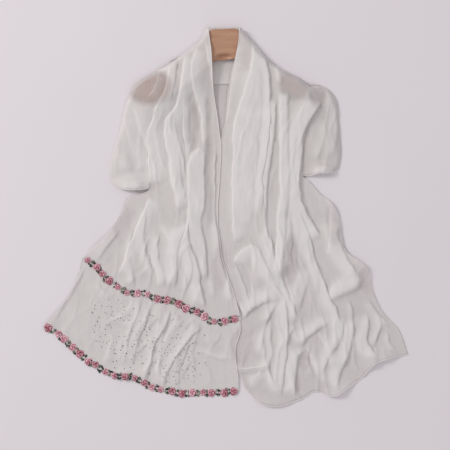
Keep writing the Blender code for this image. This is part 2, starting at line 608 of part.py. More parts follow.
def scarf_pieces():
    """Each stretch's points and faces, by the name of its node."""
    front_left, rows_left, shares = left_front()
    front_right, rows_right, _ = right_front()
    grids = {
        "left_front": front_left,
        "right_front": front_right,
        "left_cap": cap_grid(front_left, rows_left, LEFT_CAP_JOINS, LEFT_CAP_EDGE, LEFT_CAP_HEM),
        "right_cap": cap_grid(front_right, rows_right, RIGHT_CAP_JOINS, RIGHT_CAP_EDGE, RIGHT_CAP_HEM),
        "left_end": end_grid(shares),
    }
    pieces = {}
    for name, grid in grids.items():
        x, drop = grid[..., 0], grid[..., 1]
        pieces[name] = closed_wall(x, drop, *cloth_heights(x, drop))
    pieces["upper_rose_trim"] = band(UPPER_TRIM, shares, UPPER_ROSES)
    pieces["lower_rose_trim"] = band(LOWER_TRIM, shares, LOWER_ROSES)
    pieces["back_stretch"] = closed_wall(*back_grid())
    pieces["hanger"] = hanger_shape()
    return pieces


CHIFFON = (0.80, 0.78, 0.77)
ROSE_PINK = (0.62, 0.20, 0.25)
WOOD = (0.46, 0.24, 0.14)
FINISHES = {
    "hanger": (WOOD, 0.45),
    "upper_rose_trim": (ROSE_PINK, 0.8),
    "lower_rose_trim": (ROSE_PINK, 0.8),
}


def main():
    for old in list(bpy.data.objects):
        bpy.data.objects.remove(old)
    pieces = scarf_pieces()
    every = np.vstack([points for points, _ in pieces.values()])
    middle = (every.min(axis=0) + every.max(axis=0)) / 2
    middle[2] = 0
    for name, (points, faces) in pieces.items():
        add_object(name, points - middle, faces, *FINISHES.get(name, (CHIFFON, 0.85)))


main()
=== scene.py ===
"""A sheer white embroidered chiffon hijab, laid flat round a wooden coat hanger.

Every stretch of cloth is a grid of points. Its plan comes from short tables of sections, and its
height is what it rests on plus bell-shaped folds along given routes. Sizes in the tables are
in millimetres: x runs right from the middle line, and drop runs down from the top of the neck.
"""

import math
from collections import namedtuple

import bpy
import numpy as np
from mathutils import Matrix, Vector


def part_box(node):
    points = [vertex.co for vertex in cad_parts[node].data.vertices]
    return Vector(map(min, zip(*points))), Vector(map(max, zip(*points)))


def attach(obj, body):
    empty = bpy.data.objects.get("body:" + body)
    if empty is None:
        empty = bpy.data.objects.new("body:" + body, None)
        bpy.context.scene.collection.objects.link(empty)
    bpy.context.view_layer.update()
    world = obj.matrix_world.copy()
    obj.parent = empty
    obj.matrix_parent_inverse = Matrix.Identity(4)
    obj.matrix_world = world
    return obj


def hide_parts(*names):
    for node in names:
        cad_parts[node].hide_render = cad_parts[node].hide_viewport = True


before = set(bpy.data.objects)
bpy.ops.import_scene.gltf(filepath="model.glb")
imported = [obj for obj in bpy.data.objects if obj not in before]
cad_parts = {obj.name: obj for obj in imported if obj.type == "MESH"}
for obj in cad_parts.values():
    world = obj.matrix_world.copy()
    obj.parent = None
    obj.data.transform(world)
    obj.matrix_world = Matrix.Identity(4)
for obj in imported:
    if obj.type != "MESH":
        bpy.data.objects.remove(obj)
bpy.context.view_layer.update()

bl_info = {
    "name": "Chiffon hijab on a hanger",
    "version": (1, 0, 0),
    "blender": (4, 5, 0),
    "location": "3D View > Sidebar > Hijab",
    "description": "Builds a sheer embroidered scarf laid flat round a wooden coat hanger",
    "category": "Object",
}

MM = 0.001
BACK_LOW, BACK_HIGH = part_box("back_stretch")
NECK_DROP = 2.0             # drop of the back stretch's top edge
NECK = np.array([(BACK_LOW.x + BACK_HIGH.x) / 2, BACK_HIGH.y + NECK_DROP * MM, 0.0])
SEED = 7                    # of every random draw, with a number added for each use

Section = namedtuple("Section", "inner_x inner_drop outer_x outer_drop")
Fold = namedtuple("Fold", "rise spread lean route power", defaults=(2,))
Patch = namedtuple("Patch", "x drop half_x half_drop amount", defaults=(1.0,))
Pucker = namedtuple("Pucker", "x drop half_x half_drop amount slant")

# Cloth
SHELL = 0.5                 # thickness of the chiffon's shell
BACK_CLEAR = 2.6            # the fronts' height over the back stretch
BACK_ENDS = (435.0, 475.0)  # drops between which they come down to the surface
OUTER_ROLL = 12.0           # width of the rounded fold along the outer silhouette
FOLD_SCALE = 0.62           # how high a fold stands, times the rise in its table
LEAST_LEAN = 0.48           # lean of a fold whose table only just leans it
PLEAT = 0.7                 # how much wider a fold is made by leaning fully
FLOP = 0.9                  # how far a fold leans over, times its lean and height
DOWN_STRETCH = 1.9          # how much longer than wide a cell of the cloth is
FADE = 26.0                 # length over which a fold fades at its ends
WANDER = 3.4                # how far crinkles push a fold sideways
WAVES = 5                   # sine waves to each size of crinkle
FINE_RISE = 0.55            # height of the small crinkles
FINE_STARTS = (60, 180)     # drops between which they begin
FINE_FALL = 0.32            # their width, as a share of their length down the cloth
FINE_SIZES = ((30, 1.0), (15, 0.6), (9, 0.35))      # length and share of each size
CREASE_FALL = 0.38          # the same for the creases
CREASE_SIZES = ((78, 1.0), (40, 0.55), (22, 0.2))
CREASE_SHARP = 3.2          # how fast a crease falls away from its ridge
EDGE_ROWS, EDGE_COLUMNS = 4, 5                      # cells over which a free edge starts to flop

# Back stretch
LEVEL_COLUMNS = 70
BACK_LEVEL, BACK_RIPPLE, BACK_DENSITY = 0.95, 0.45, 0.3
TURNED_DEPTH = 139.0        # how far down the turned neck edge reaches
TURNED_LEFT, TURNED_RIGHT = -40.0, 34.0             # its side edges
TURNED_ROWS = 40
TURNED_LEVEL, TURNED_RIPPLE, TURNED_DENSITY = 2.2, 0.4, 0.8

# Hems
HEM_RADIUS = 0.9            # radius of the rolled hem
LOWEST = 0.1                # least height of hems and stitches over the surface
TURNED_HEM = [(36, 821), (54, 821), (74, 818), (93, 815)]   # across and down the right front

# How dense the cloth looks, from 0 to 1, and where its edges meet
# Less dense cloth hides less, and its colour is also painted darker: painted shade
DENSITY = {"left_front": 0.66, "left_cap": 0.8, "left_end": 0.72, "right_cap": 0.55}
RIGHT_DENSITY = (0.68, 0.58)                        # gathered above, spread below
RIGHT_SPREADS = (420, 640)                          # drops between which it changes
DOUBLED = (1.0, 7.0)        # fold heights between which the cloth counts as doubled
SUNK = 0.2                  # how much thinner it is in a trough, where it is also painted darker: painted shade
LIP = 0.7                   # how far the left front's inner edge lies over the right one's
LIP_CELLS = 9               # cells over which it comes down
LIP_ENDS = (228.0, 290.0)   # drops between which the fronts come together
LIP_BACK = (650.0, 700.0)   # drops between which it goes under the end panel
END_OVERLAP = 7.0           # how far the end panel reaches over it there
END_JOINS = (700, 740)      # drops between which it comes to that
OVERLAP = 11.0              # how far the right front reaches under the left one

PUCKERS = [                 # where small creases gather, and how they slant
    Pucker(-140, 760, 130, 110, 3.2, -0.45), Pucker(-330, 690, 110, 110, 1.0, -0.3),
    Pucker(-150, 590, 170, 130, 2.2, -0.1), Pucker(-110, 300, 110, 240, 1.5, 0.02),
    Pucker(110, 300, 120, 240, 1.3, -0.03), Pucker(130, 600, 170, 150, 2.4, 0.15),
    Pucker(200, 800, 240, 140, 3.0, 0.1), Pucker(-235, 280, 50, 130, 1.8, 0.1),
    Pucker(235, 270, 45, 120, 1.8, -0.1),
]
LIFTS = [                   # where an edge stands off the surface, amounts in mm
    Patch(372, 806, 60, 45, 9), Patch(283, 888, 55, 45, 9), Patch(330, 560, 60, 70, 8),
    Patch(-222, 380, 60, 30, 8), Patch(236, 346, 45, 28, 9), Patch(-432, 712, 40, 35, 4),
    Patch(-226, 838, 50, 30, 4), Patch(106, 905, 70, 25, 5), Patch(-300, 520, 40, 60, 4),
]
THIN = [                    # where the cloth is a single layer, as over the hanger's ends; there it is also painted darker: painted shade
    Patch(163, 141, 38, 42, 0.4), Patch(218, 166, 22, 34, 0.4), Patch(-180, 148, 62, 46, 0.72),
    Patch(36, 765, 27, 44, 0.45), Patch(155, 560, 19, 62, 0.4), Patch(-40, 330, 11, 175, 0.22),
    Patch(-12, 572, 17, 62, 0.4), Patch(82, 452, 11, 52, 0.3), Patch(-120, 138, 14, 52, 0.2),
    Patch(-76, 245, 14, 66, 0.18), Patch(345, 606, 32, 36, 0.4), Patch(188, 800, 13, 28, 0.45),
    Patch(170, 858, 10, 26, 0.35), Patch(-250, 470, 24, 60, 0.3), Patch(260, 470, 22, 60, 0.35),
]

# Hanger
HANGER_THICK = 16.0
HANGER_FLOOR = 3.3          # height of its underside
HANGER_CLEAR = 21.8         # height of the cloth that lies over it
HANGER_SLOPE = 110.0        # reach of the slope in which the cloth comes down beside it
HANGER_ROUND = 3.5          # power of its rounded section: 2 is an ellipse, more is squarer
HANGER_RIBS, HANGER_SIDES = 240, 96
HANGER_SLIM = (20, 0.45)    # half width under which its section is thinner, and the least share
SCOOP = Patch(-3, 75.0, 25, 10.0, 9.0)              # the finger scoop at its lower middle

# Embroidery
TRIM_LIFT = 1.6             # how far the upper band stands over the cloth
ROSE_RISE = 2.6             # height of a rose's dome
ROSE_SCALE = (0.74, 1.1)    # least and most size of a rose, times the setting
ROSE_TONE = (-0.25, 0.2)    # darkest and lightest
PETALS = 3                  # arms of the spiral round a rose's heart
HEART = 0.46                # share of the radius that the heart takes
LOBES = (0.10, 0.07)        # how uneven its outline is
ROSE_OFF = (2.6, 4.0)       # how far it may stand off its place, down and along the band
LEAVES = [                  # between two roses: side of the band, lean, place along it
    (-1, 0.7, -7.0), (1, 0.9, -6.0), (-1, 0.8, 6.0), (1, 0.6, 7.0), (-1, 1.5, -1.5), (1, 1.3, 2.0),
]
LEAF_LENGTH, LEAF_WIDTH = (6.5, 9.5), (3.8, 5.2)    # least and most
LEAF_LEAN, LEAF_TONE = (0.8, 1.2), (0.7, 1.3)       # times its lean and its colour
DARK_LEAVES = 0.76          # share of the leaves in dark thread
BUDS = 0.9                  # share of the places with a small ring bud
BUD_RADIUS = (2.3, 3.1)
BEAD_ROWS, BEAD_COLUMNS = 20, 50                    # places for a bead on the end panel
BEAD_LOOKS = {"dark": ((52, 46, 50), 0.2), "pale": ((250, 248, 250), 0.1)}  # colour, metallic
BEAD_SCALE = (0.75, 1.2)    # least and most size of a bead, times the setting
DARK_BEADS = 0.45           # share of the beads that are dark
SPRAY_END = 1.25            # square of the share of a spray's reach at which its beads end
SPRAYS = [                  # where the beads are
    Patch(-275, 705, 55, 75), Patch(-180, 760, 45, 85),
    Patch(-115, 790, 70, 90), Patch(-235, 780, 60, 70),
]

# Stage, in metres
FLOOR_HALF = 6.0
CAMERA_HEIGHT = 3.0
VIEW_WIDTH = 1.08
VIEW_X, VIEW_DROP = -1.8, 476.4     # what the middle of the picture looks at, in mm
LIGHTS = [                          # name, place, size, power and colour
    ("key", (-4.2, 2.2, 3.3), 1.9, 160.0, (1.0, 0.985, 0.975)),
    ("fill", (1.5, -1.0, 3.6), 3.0, 14.0, (0.98, 0.975, 1.0)),
]
WORLD_COLOUR = (0.95, 0.94, 0.97)
WORLD_STRENGTH = 0.58

# Plan of each stretch, hem and band. A front's sections are its inner and outer edge
LEFT_FRONT = [Section(*row) for row in (
    (-43, 6, -49, 8), (-40, 23, -56, 23), (-38, 40, -67, 37), (-35, 59, -88, 53),
    (-34, 76, -110, 72), (-33, 95, -137, 90), (-31, 140, -141, 128), (-27, 176, -160, 184),
    (-21, 212, -176, 224), (-16, 251, -182, 260), (-11, 296, -184, 299), (-14, 349, -183, 340),
    (-16, 388, -182, 388), (-19, 428, -206, 402), (-19, 474, -235, 412), (-14, 517, -251, 448),
    (-8, 560, -271, 479), (6, 604, -295, 508), (20, 647, -319, 529), (34, 697, -343, 556),
)]
LEFT_CAP_JOINS = (5, 12)    # the sections of the front that its cap lies beside
RIGHT_FRONT = [Section(*row) for row in (
    (33, 6, 40, 8), (32, 23, 53, 23), (31, 40, 70, 42), (27, 61, 89, 66), (22, 83, 113, 89),
    (15, 107, 140, 106), (10, 136, 171, 121), (5, 167, 200, 143), (3, 191, 224, 181),
    (1, 215, 213, 208), (-2, 244, 197, 239), (-2, 275, 188, 270), (-3, 308, 185, 306),
    (-4, 344, 184, 356), (-7, 383, 200, 371), (-9, 421, 229, 404), (-9, 464, 257, 424),
    (-9, 508, 274, 460), (-3, 548, 279, 503), (11, 589, 291, 541), (28, 630, 334, 572),
    (39, 664, 347, 602), (42, 695, 358, 647), (36, 728, 380, 688), (25, 767, 411, 721),
    (24, 805, 425, 748), (47, 866, 437, 786),
)]
RIGHT_CAP_JOINS = (7, 13)
LEFT_CAP_EDGE = [
    (-141, 97), (-163, 106), (-187, 118), (-215, 136), (-232, 167),
    (-245, 205), (-255, 253), (-272, 301), (-279, 344), (-278, 366),
]
RIGHT_CAP_EDGE = [
    (205, 139), (231, 143), (255, 160), (268, 184), (271, 224),
    (274, 265), (277, 301), (271, 337), (262, 346),
]
LEFT_CAP_HEM = [(-182, 388), (-206, 392), (-230, 392), (-251, 389), (-268, 378), (-278, 366)]
RIGHT_CAP_HEM = [(184, 356), (200, 359), (219, 353), (241, 352), (262, 346)]
UPPER_TRIM = [
    (35, 697), (13, 702), (-11, 708), (-33, 706), (-52, 694), (-86, 679), (-124, 661), (-163, 654),
    (-196, 641), (-232, 638), (-261, 623), (-285, 606), (-309, 580), (-326, 566), (-343, 556),
]
LOWER_TRIM = [
    (22, 876), (-19, 880), (-67, 882), (-115, 882), (-158, 872), (-191, 862), (-220, 846),
    (-259, 841), (-297, 826), (-340, 798), (-383, 760), (-410, 736), (-436, 718),
]
RIGHT_HEM = [
    (47, 866), (59, 881), (80, 902), (114, 911), (150, 905), (184, 892), (217, 875),
    (257, 887), (293, 866), (327, 842), (356, 810), (389, 797), (437, 786),
]
END_INNER = [(34, 707), (26, 733), (16, 764), (16, 796), (20, 829), (23, 868)]
END_OUTER = [(-343, 565), (-347, 596), (-367, 632), (-391, 668), (-415, 697), (-431, 714)]
BACK_STRETCH = [            # drop, left x and right x
    (2, -41, 33), (23, -43, 40), (40, -53, 56), (56, -79, 73), (73, -100, 88), (90, -124, 109),
    (106, -141, 130), (124, -170, 154), (138.6, -192, 178), (139.4, -193, 179), (158, -213, 236),
    (172, -220, 250), (205, -232, 258), (253, -242, 261), (301, -258, 264), (332, -264, 256),
    (349, -264, 225), (368, -256, 178), (388, -240, 130), (401, -206, 58), (412, -146, 22),
]
HANGER = [                  # x, and the drops of its upper and lower edge
    (-222, 168, 180), (-215, 152, 186), (-201, 138, 191), (-182, 126, 195), (-158, 116, 184),
    (-129, 99, 166), (-95, 78, 145), (-67, 56, 121), (-47, 29, 100), (-35, 10, 88), (-4, 8, 82),
    (27, 8, 81), (41, 28, 92), (63, 58, 111), (92, 86, 131), (121, 106, 147), (149, 122, 158),
    (173, 136, 168), (188, 149, 172), (195, 160, 169),
]

# Creases: height, width, lean to a side from -1 to 1, and the route down the cloth
FOLDS = [
    # left front, from the neck down
    Fold(5, 7, -0.3, [(-50, 37), (-43, 71), (-35, 104), (-31, 138), (-23, 176), (-19, 215)]),
    Fold(7, 10, -0.2, [
        (-64, 47), (-74, 76), (-79, 104), (-76, 140), (-67, 176), (-59, 212), (-55, 253),
        (-52, 292)
    ]),
    Fold(9, 12, -0.2, [
        (-93, 66), (-100, 95), (-103, 128), (-107, 157), (-115, 186), (-127, 208), (-139, 227),
        (-143, 253), (-142, 284), (-136, 316), (-131, 349), (-127, 383), (-119, 416), (-110, 445)
    ]),
    Fold(6, 7, 0.4, [(-117, 80), (-117, 116), (-122, 157), (-131, 186)]),
    Fold(10, 12, -0.3, [
        (-136, 90), (-139, 124), (-143, 152), (-158, 176), (-170, 203), (-177, 229), (-182, 260),
        (-182, 296), (-182, 340), (-179, 383)
    ]),
    Fold(5, 6, -0.4, [(-93, 138), (-98, 176), (-100, 220), (-100, 258), (-95, 296), (-91, 330)]),
    Fold(5, 6, 0.3, [(-122, 215), (-115, 253), (-107, 292), (-100, 325), (-91, 364)]),
    Fold(-5, 12, 0, [(-83, 157), (-76, 200), (-74, 248), (-79, 292)]),
    Fold(8, 14, -0.3, [
        (-47, 289), (-64, 296), (-79, 308), (-86, 332), (-86, 368), (-88, 407), (-88, 440),
        (-93, 479), (-105, 508), (-115, 529)
    ]),
    Fold(6, 10, 0.4, [(-117, 296), (-110, 328), (-105, 359), (-98, 392), (-91, 426)]),
    Fold(7, 10, 0.5, [
        (-52, 301), (-50, 344), (-50, 392), (-52, 440), (-55, 484), (-50, 524), (-45, 565),
        (-43, 608)
    ]),
    Fold(-4, 8, 0, [(-40, 164), (-38, 224), (-38, 296), (-40, 368), (-35, 428), (-31, 484)]),
    Fold(6, 7, 0.3, [
        (-26, 296), (-26, 356), (-28, 416), (-23, 476), (-16, 536), (-4, 584), (8, 623), (17, 666)
    ]),
    # left front, lower part
    Fold(8, 10, -0.4, [
        (-182, 402), (-191, 431), (-203, 457), (-215, 484), (-227, 512), (-239, 541), (-251, 570),
        (-261, 594)
    ]),
    Fold(-4, 12, 0, [(-211, 431), (-235, 464), (-259, 503)]),
    Fold(6, 7, 0.4, [(-189, 431), (-189, 464), (-194, 500), (-191, 536), (-182, 570), (-170, 601)]),
    Fold(6, 7, 0.3, [(-220, 479), (-227, 520), (-227, 560), (-223, 599), (-218, 628)]),
    Fold(5, 7, -0.4, [(-163, 474), (-146, 500), (-129, 532), (-127, 565)]),
    Fold(8, 12, 0.3, [(-98, 479), (-110, 510), (-117, 546), (-119, 584), (-124, 628)]),
    Fold(9, 10, 0.5, [
        (-86, 464), (-86, 498), (-81, 532), (-71, 565), (-62, 599), (-55, 637), (-50, 676)
    ]),
    Fold(7, 7, 0.4, [(-98, 512), (-88, 548), (-83, 584), (-88, 613), (-98, 642)]),
    Fold(6, 7, 0.3, [(-160, 493), (-165, 527), (-158, 565), (-148, 599), (-151, 632)]),
    Fold(5, 7, -0.4, [(-187, 532), (-179, 565), (-167, 599), (-163, 628)]),
    Fold(5, 10, 0, [(-43, 599), (-33, 628), (-33, 656)]),
    Fold(4, 10, 0, [(-4, 599), (5, 632), (10, 671)]),
    Fold(4, 7, 0.2, [(-249, 479), (-273, 512), (-292, 541), (-311, 565)]),
    # over the hanger's left end
    Fold(7, 5, -0.3, [(-157, 112), (-163, 131), (-172, 152), (-184, 176)]),
    # end panel
    Fold(6, 6, 0.3, [(-340, 580), (-352, 613), (-369, 644), (-391, 676), (-410, 704)]),
    Fold(3.5, 7, 0.2, [(-311, 608), (-302, 628), (-285, 640), (-268, 647)]),
    Fold(5, 6, -0.3, [
        (-227, 647), (-230, 664), (-239, 678), (-254, 690), (-273, 700), (-283, 714)
    ]),
    Fold(5, 6, 0.3, [(-254, 700), (-235, 709), (-220, 700), (-220, 671)]),
    Fold(5, 6, 0.4, [(-203, 652), (-208, 680), (-220, 714), (-232, 748), (-237, 781), (-244, 815)]),
    Fold(5, 6, 0.4, [(-179, 666), (-187, 695), (-196, 724), (-208, 752), (-218, 786), (-225, 815)]),
    Fold(4, 5, -0.3, [(-273, 728), (-278, 757), (-287, 791), (-297, 815)]),
    Fold(4, 6, 0.2, [(-251, 743), (-251, 776), (-261, 810)]),
    Fold(6, 6, 0.5, [
        (-131, 676), (-139, 709), (-153, 738), (-170, 762), (-177, 796), (-187, 829), (-191, 858)
    ]),
    Fold(5, 6, -0.4, [
        (-115, 685), (-129, 714), (-143, 743), (-158, 772), (-167, 805), (-172, 839)
    ]),
    Fold(6, 7, 0.5, [(-55, 719), (-76, 740), (-100, 767), (-122, 796), (-139, 829), (-148, 868)]),
    Fold(3.5, 5, 0.3, [(-95, 700), (-110, 719), (-129, 731)]),
    Fold(3.5, 5, 0.3, [(-86, 752), (-100, 791), (-110, 829), (-115, 868)]),
    Fold(5, 7, 0, [(-74, 776), (-43, 784), (-9, 793), (20, 796)]),
    Fold(3, 7, 0.2, [(-9, 728), (-23, 757), (-43, 776)]),
    Fold(4, 6, 0.3, [(-151, 781), (-158, 815), (-158, 848)]),
    Fold(3, 7, 0.2, [(-47, 810), (-38, 839), (-33, 868)]),
    Fold(-3, 10, 0, [(-71, 762), (-38, 767), (1, 776)]),
    # right front, from the neck down
    Fold(8, 10, -0.4, [
        (53, 25), (63, 44), (65, 73), (58, 104), (49, 138), (39, 172), (29, 205), (22, 234),
        (17, 268), (16, 308), (15, 356), (15, 404), (17, 452), (17, 488), (22, 522)
    ]),
    Fold(4, 7, -0.3, [(34, 37), (27, 80), (17, 124), (10, 162), (3, 200), (-2, 239)]),
    Fold(5, 22, 0.3, [
        (70, 95), (77, 140), (77, 188), (70, 248), (63, 308), (58, 368), (56, 428), (51, 484)
    ], 4),
    Fold(7, 7, 0.5, [
        (89, 71), (101, 95), (106, 128), (106, 167), (104, 210), (101, 253), (97, 296), (92, 340),
        (87, 383), (85, 426), (82, 460)
    ]),
    Fold(6, 7, 0, [(116, 92), (125, 114), (128, 143)]),
    Fold(7, 10, 0.4, [
        (118, 176), (118, 224), (113, 272), (106, 320), (99, 368), (94, 407), (97, 450), (101, 493),
        (111, 532), (123, 570), (137, 608), (152, 647), (164, 678), (176, 709)
    ]),
    Fold(9, 11, 0, [
        (139, 157), (139, 224), (139, 296), (139, 368), (137, 428), (133, 476), (130, 524),
        (128, 565), (123, 604)
    ], 6),
    Fold(4, 5, -0.4, [(188, 181), (176, 205), (164, 229), (157, 251)]),
    Fold(5, 7, 0.3, [(171, 244), (164, 284), (161, 332), (164, 380), (171, 424)]),
    Fold(11, 12, 0.5, [
        (229, 179), (219, 200), (205, 222), (193, 241), (185, 268), (183, 296), (181, 332),
        (178, 368), (181, 404), (188, 431), (200, 455), (214, 479), (229, 508)
    ]),
    Fold(8, 10, 0.5, [
        (173, 436), (185, 469), (197, 500), (209, 532), (217, 560), (226, 589), (238, 618),
        (253, 652), (269, 685)
    ]),
    Fold(5, 10, 0.3, [(152, 452), (154, 500), (154, 548), (161, 589)]),
    Fold(6, 10, -0.4, [(241, 412), (253, 440), (250, 469), (248, 498), (245, 527), (238, 556)]),
    Fold(9, 12, 0.4, [(277, 469), (269, 496), (277, 524), (289, 551), (303, 577), (317, 604)]),
    Fold(8, 10, 0.4, [
        (17, 570), (27, 551), (41, 534), (58, 527), (75, 532), (87, 553), (99, 580), (116, 608)
    ]),
    Fold(5, 7, -0.4, [(58, 536), (63, 572), (61, 608), (63, 637), (75, 661)]),
    Fold(6, 7, 0.5, [(75, 551), (94, 582), (113, 613), (133, 642), (142, 664)]),
    Fold(4, 6, 0.4, [(25, 565), (34, 594), (46, 625), (56, 656), (61, 685)]),
    Fold(9, 10, -0.4, [(41, 704), (58, 683), (82, 666), (106, 656), (123, 652)]),
    Fold(7, 7, 0.4, [(123, 654), (113, 678), (101, 700), (92, 728), (87, 764), (92, 793)]),
    Fold(-5, 10, 0, [(25, 738), (44, 743), (63, 738), (87, 719), (101, 697)]),
    Fold(7, 6, 0.3, [(25, 816), (44, 817), (63, 815), (82, 812), (111, 810)]),
    Fold(-5, 6, 0, [(25, 830), (44, 832), (63, 829), (82, 827), (106, 824)]),
    Fold(7, 6, -0.4, [(87, 815), (73, 836), (58, 853), (49, 868)]),
    Fold(6, 6, 0.4, [(101, 791), (106, 824), (116, 858), (125, 887)]),
    Fold(5, 6, 0.4, [(169, 719), (154, 738), (149, 757)]),
    Fold(5, 6, 0.3, [(207, 762), (197, 781), (200, 810), (212, 844)]),
    Fold(5, 7, -0.3, [(221, 728), (231, 757), (245, 786), (255, 820)]),
    Fold(5, 6, 0.4, [(296, 656), (303, 685), (298, 719)]),
    Fold(6, 6, 0.4, [(365, 685), (370, 719), (361, 752), (351, 776)]),
    Fold(5, 6, 0.2, [(385, 728), (394, 757), (409, 781)]),
    Fold(4, 7, 0.2, [(178, 580), (169, 618), (164, 656)]),
    Fold(5, 6, -0.3, [(87, 565), (97, 594), (111, 618), (121, 637)]),
    Fold(8, 10, 0.5, [
        (142, 647), (147, 685), (149, 728), (147, 772), (142, 815), (135, 858), (130, 889)
    ]),
    Fold(6, 10, 0.3, [(106, 704), (106, 748), (111, 781), (101, 815), (77, 839), (53, 863)]),
    Fold(8, 10, 0.5, [(188, 769), (173, 796), (169, 829), (166, 863), (164, 892)]),
    Fold(8, 10, 0.4, [(253, 700), (233, 719), (209, 733), (190, 748), (178, 772)]),
    Fold(5, 7, -0.3, [(195, 776), (205, 805), (219, 834), (238, 863)]),
    Fold(8, 10, 0.4, [(277, 690), (279, 724), (272, 757), (255, 786), (241, 810), (231, 839)]),
    Fold(8, 10, 0.4, [(301, 695), (305, 733), (298, 772), (284, 805), (272, 839), (265, 872)]),
    Fold(5, 7, 0.3, [(325, 733), (325, 767), (334, 796)]),
    Fold(8, 10, 0.5, [(332, 685), (344, 714), (339, 748), (349, 774), (363, 793)]),
    Fold(12, 14, 0.1, [(325, 601), (308, 625), (286, 637), (265, 649), (241, 652)]),
    Fold(5, 10, 0.3, [(337, 652), (356, 680), (375, 704), (392, 724)]),
    Fold(7, 10, 0.4, [(250, 656), (265, 680), (269, 709), (262, 738)]),
    Fold(5, 14, 0.2, [(190, 572), (188, 613), (178, 652), (173, 685)], 4),
    # left cap
    Fold(4, 7, -0.4, [(-158, 119), (-165, 138), (-175, 155)]),
    Fold(6, 10, -0.4, [(-223, 196), (-211, 229), (-196, 265), (-184, 299), (-182, 335)]),
    Fold(5, 12, -0.3, [(-249, 205), (-237, 248), (-220, 287), (-206, 320), (-208, 354)]),
    Fold(4, 14, 0, [(-259, 292), (-249, 325), (-235, 354)]),
    Fold(6, 12, 0, [(-196, 385), (-225, 385), (-251, 380)]),
    # right cap
    Fold(4, 12, 0.1, [(238, 157), (257, 186), (262, 224), (260, 277), (253, 320)]),
    Fold(4, 10, 0.3, [(231, 220), (236, 258), (226, 296), (212, 330)]),
    Fold(6, 12, 0, [(200, 354), (226, 347), (253, 340)]),
]
# Broad swells under them
HILLS = [
    Fold(5, 55, 0, [(-110, 250), (-110, 400), (-110, 520), (-100, 620)]),
    Fold(6, 60, 0, [(100, 200), (90, 350), (110, 480), (150, 600)]),
    Fold(4, 45, 0, [(230, 470), (270, 600), (300, 700)]),
    Fold(4, 40, 0, [(-250, 230), (-235, 300), (-230, 360)]),
    Fold(4, 35, 0, [(245, 230), (245, 300), (235, 340)]),
]


# ---------------------------------------------------------------- curves and distances


def smooth_line(points, at):
    """A Catmull-Rom curve through the points, read at positions counted in points.

    Between points b and c, with neighbours a and d, a place at u is half of
    2b + (c - a)u + (2a - 5b + 4c - d)u^2 + (3b - a - 3c + d)u^3.
    """
    points = np.asarray(points, float)
    ends = np.vstack([2 * points[0] - points[1], points, 2 * points[-1] - points[-2]])
    at = np.clip(np.asarray(at, float), 0, len(points) - 1)
    k = np.minimum(at.astype(int), len(points) - 2)
    u = (at - k)[:, None]
    a, b, c, d = ends[k], ends[k + 1], ends[k + 2], ends[k + 3]
    square, cube = 2 * a - 5 * b + 4 * c - d, 3 * b - a - 3 * c + d
    return 0.5 * (2 * b + (c - a) * u + square * u**2 + cube * u**3)


def smoothed(points, step=6):
    """The whole curve, with a few samples to each stretch."""
    return smooth_line(points, np.linspace(0, len(points) - 1, step * (len(points) - 1) + 1))


def length_along(points, axis=0):
    """Lengths along a line, or down or across a grid, from 0 at the first point."""
    steps = np.linalg.norm(np.diff(points, axis=axis), axis=-1)
    return np.cumsum(np.insert(steps, 0, 0, axis=axis), axis=axis)


def read_at(line, along, at):
    """Places on a line, where along rises along it."""
    return np.column_stack([np.interp(at, along, column) for column in line.T])


def read_by_length(points, shares):
    """Places on a curve at shares of its length."""
    line = smoothed(points, 12)
    along = length_along(line)
    return read_at(line, along, np.asarray(shares) * along[-1])


def nearest(place, line):
    """Each place's distance to a line, its side, the share of the length at the nearest point,
    and the direction in plan that points square to the line, towards the side that is positive."""
    start, run = line[:-1], np.diff(line, axis=0)
    length = np.maximum(np.linalg.norm(run, axis=1), 1e-9)
    before = np.concatenate([[0], np.cumsum(length)])
    parts = []
    for block in np.array_split(place, max(1, len(place) // 6000)):
        off = block[:, None] - start
        u = np.clip((off * run).sum(-1) / length**2, 0, 1)
        away = off - u[..., None] * run
        apart = np.linalg.norm(away, axis=-1)
        best = apart.argmin(axis=1)
        rows = np.arange(len(best))
        side = run[best, 1] * away[rows, best, 0] - run[best, 0] * away[rows, best, 1]
        share = (before[best] + u[rows, best] * length[best]) / before[-1]
        square = np.stack([run[best, 1], -run[best, 0]]) / length[best]
        parts.append(np.vstack([apart[rows, best], np.sign(side), share, square]))
    return np.concatenate(parts, axis=1)


def near_box(place, line, reach):
    """Which places lie in a line's box, widened by reach."""
    return np.all((place > line.min(axis=0) - reach) & (place < line.max(axis=0) + reach), axis=1)


def smooth_step(value, low, high):
    u = np.clip((value - low) / (high - low), 0, 1)
    return u * u * (3 - 2 * u)


def lift(place, folds):
    """The folds' height, and how far they flop over in plan.

    A fold is rise * exp(-(distance / width)^power), and it fades out over its ends. It leans to
    one side: it is steeper there, and every point moves that way by the lean times FLOP times its
    height, so a high fold overhangs its foot. Its crest ends up on its route. Ridges and troughs
    each join as the root of the sum of their squares.
    """
    ridges, troughs, flop = np.zeros(len(place)), np.zeros(len(place)), np.zeros((2, len(place)))
    for fold in folds:
        line = smoothed(fold.route)
        lean = float(np.sign(fold.lean)) * (LEAST_LEAN + (1 - LEAST_LEAN) * abs(fold.lean))
        spread = fold.spread * (1 + PLEAT * abs(lean))
        shift = FLOP * lean * max(fold.rise, 0)
        near = near_box(place, line, 2.0 * spread * (1 + abs(lean)) + abs(shift))
        if not near.any():
            continue
        apart, side, share, *square = nearest(place[near], line)
        run = length_along(line)[-1]
        fade = np.clip(np.minimum(share, 1 - share) * run / min(FADE, 0.35 * run), 0, 1)
        fade = np.sin(fade * np.pi / 2) ** 1.2
        across = side * apart + shift * fade
        width = spread * (1 - np.sign(across) * lean)
        height = fold.rise * fade * np.exp(-np.abs(across / width) ** fold.power)
        (ridges if fold.rise > 0 else troughs)[near] += height**2
        flop[:, near] += FLOP * lean * np.maximum(height, 0) * np.array(square)
    return np.sqrt(ridges) - np.sqrt(troughs), flop.T


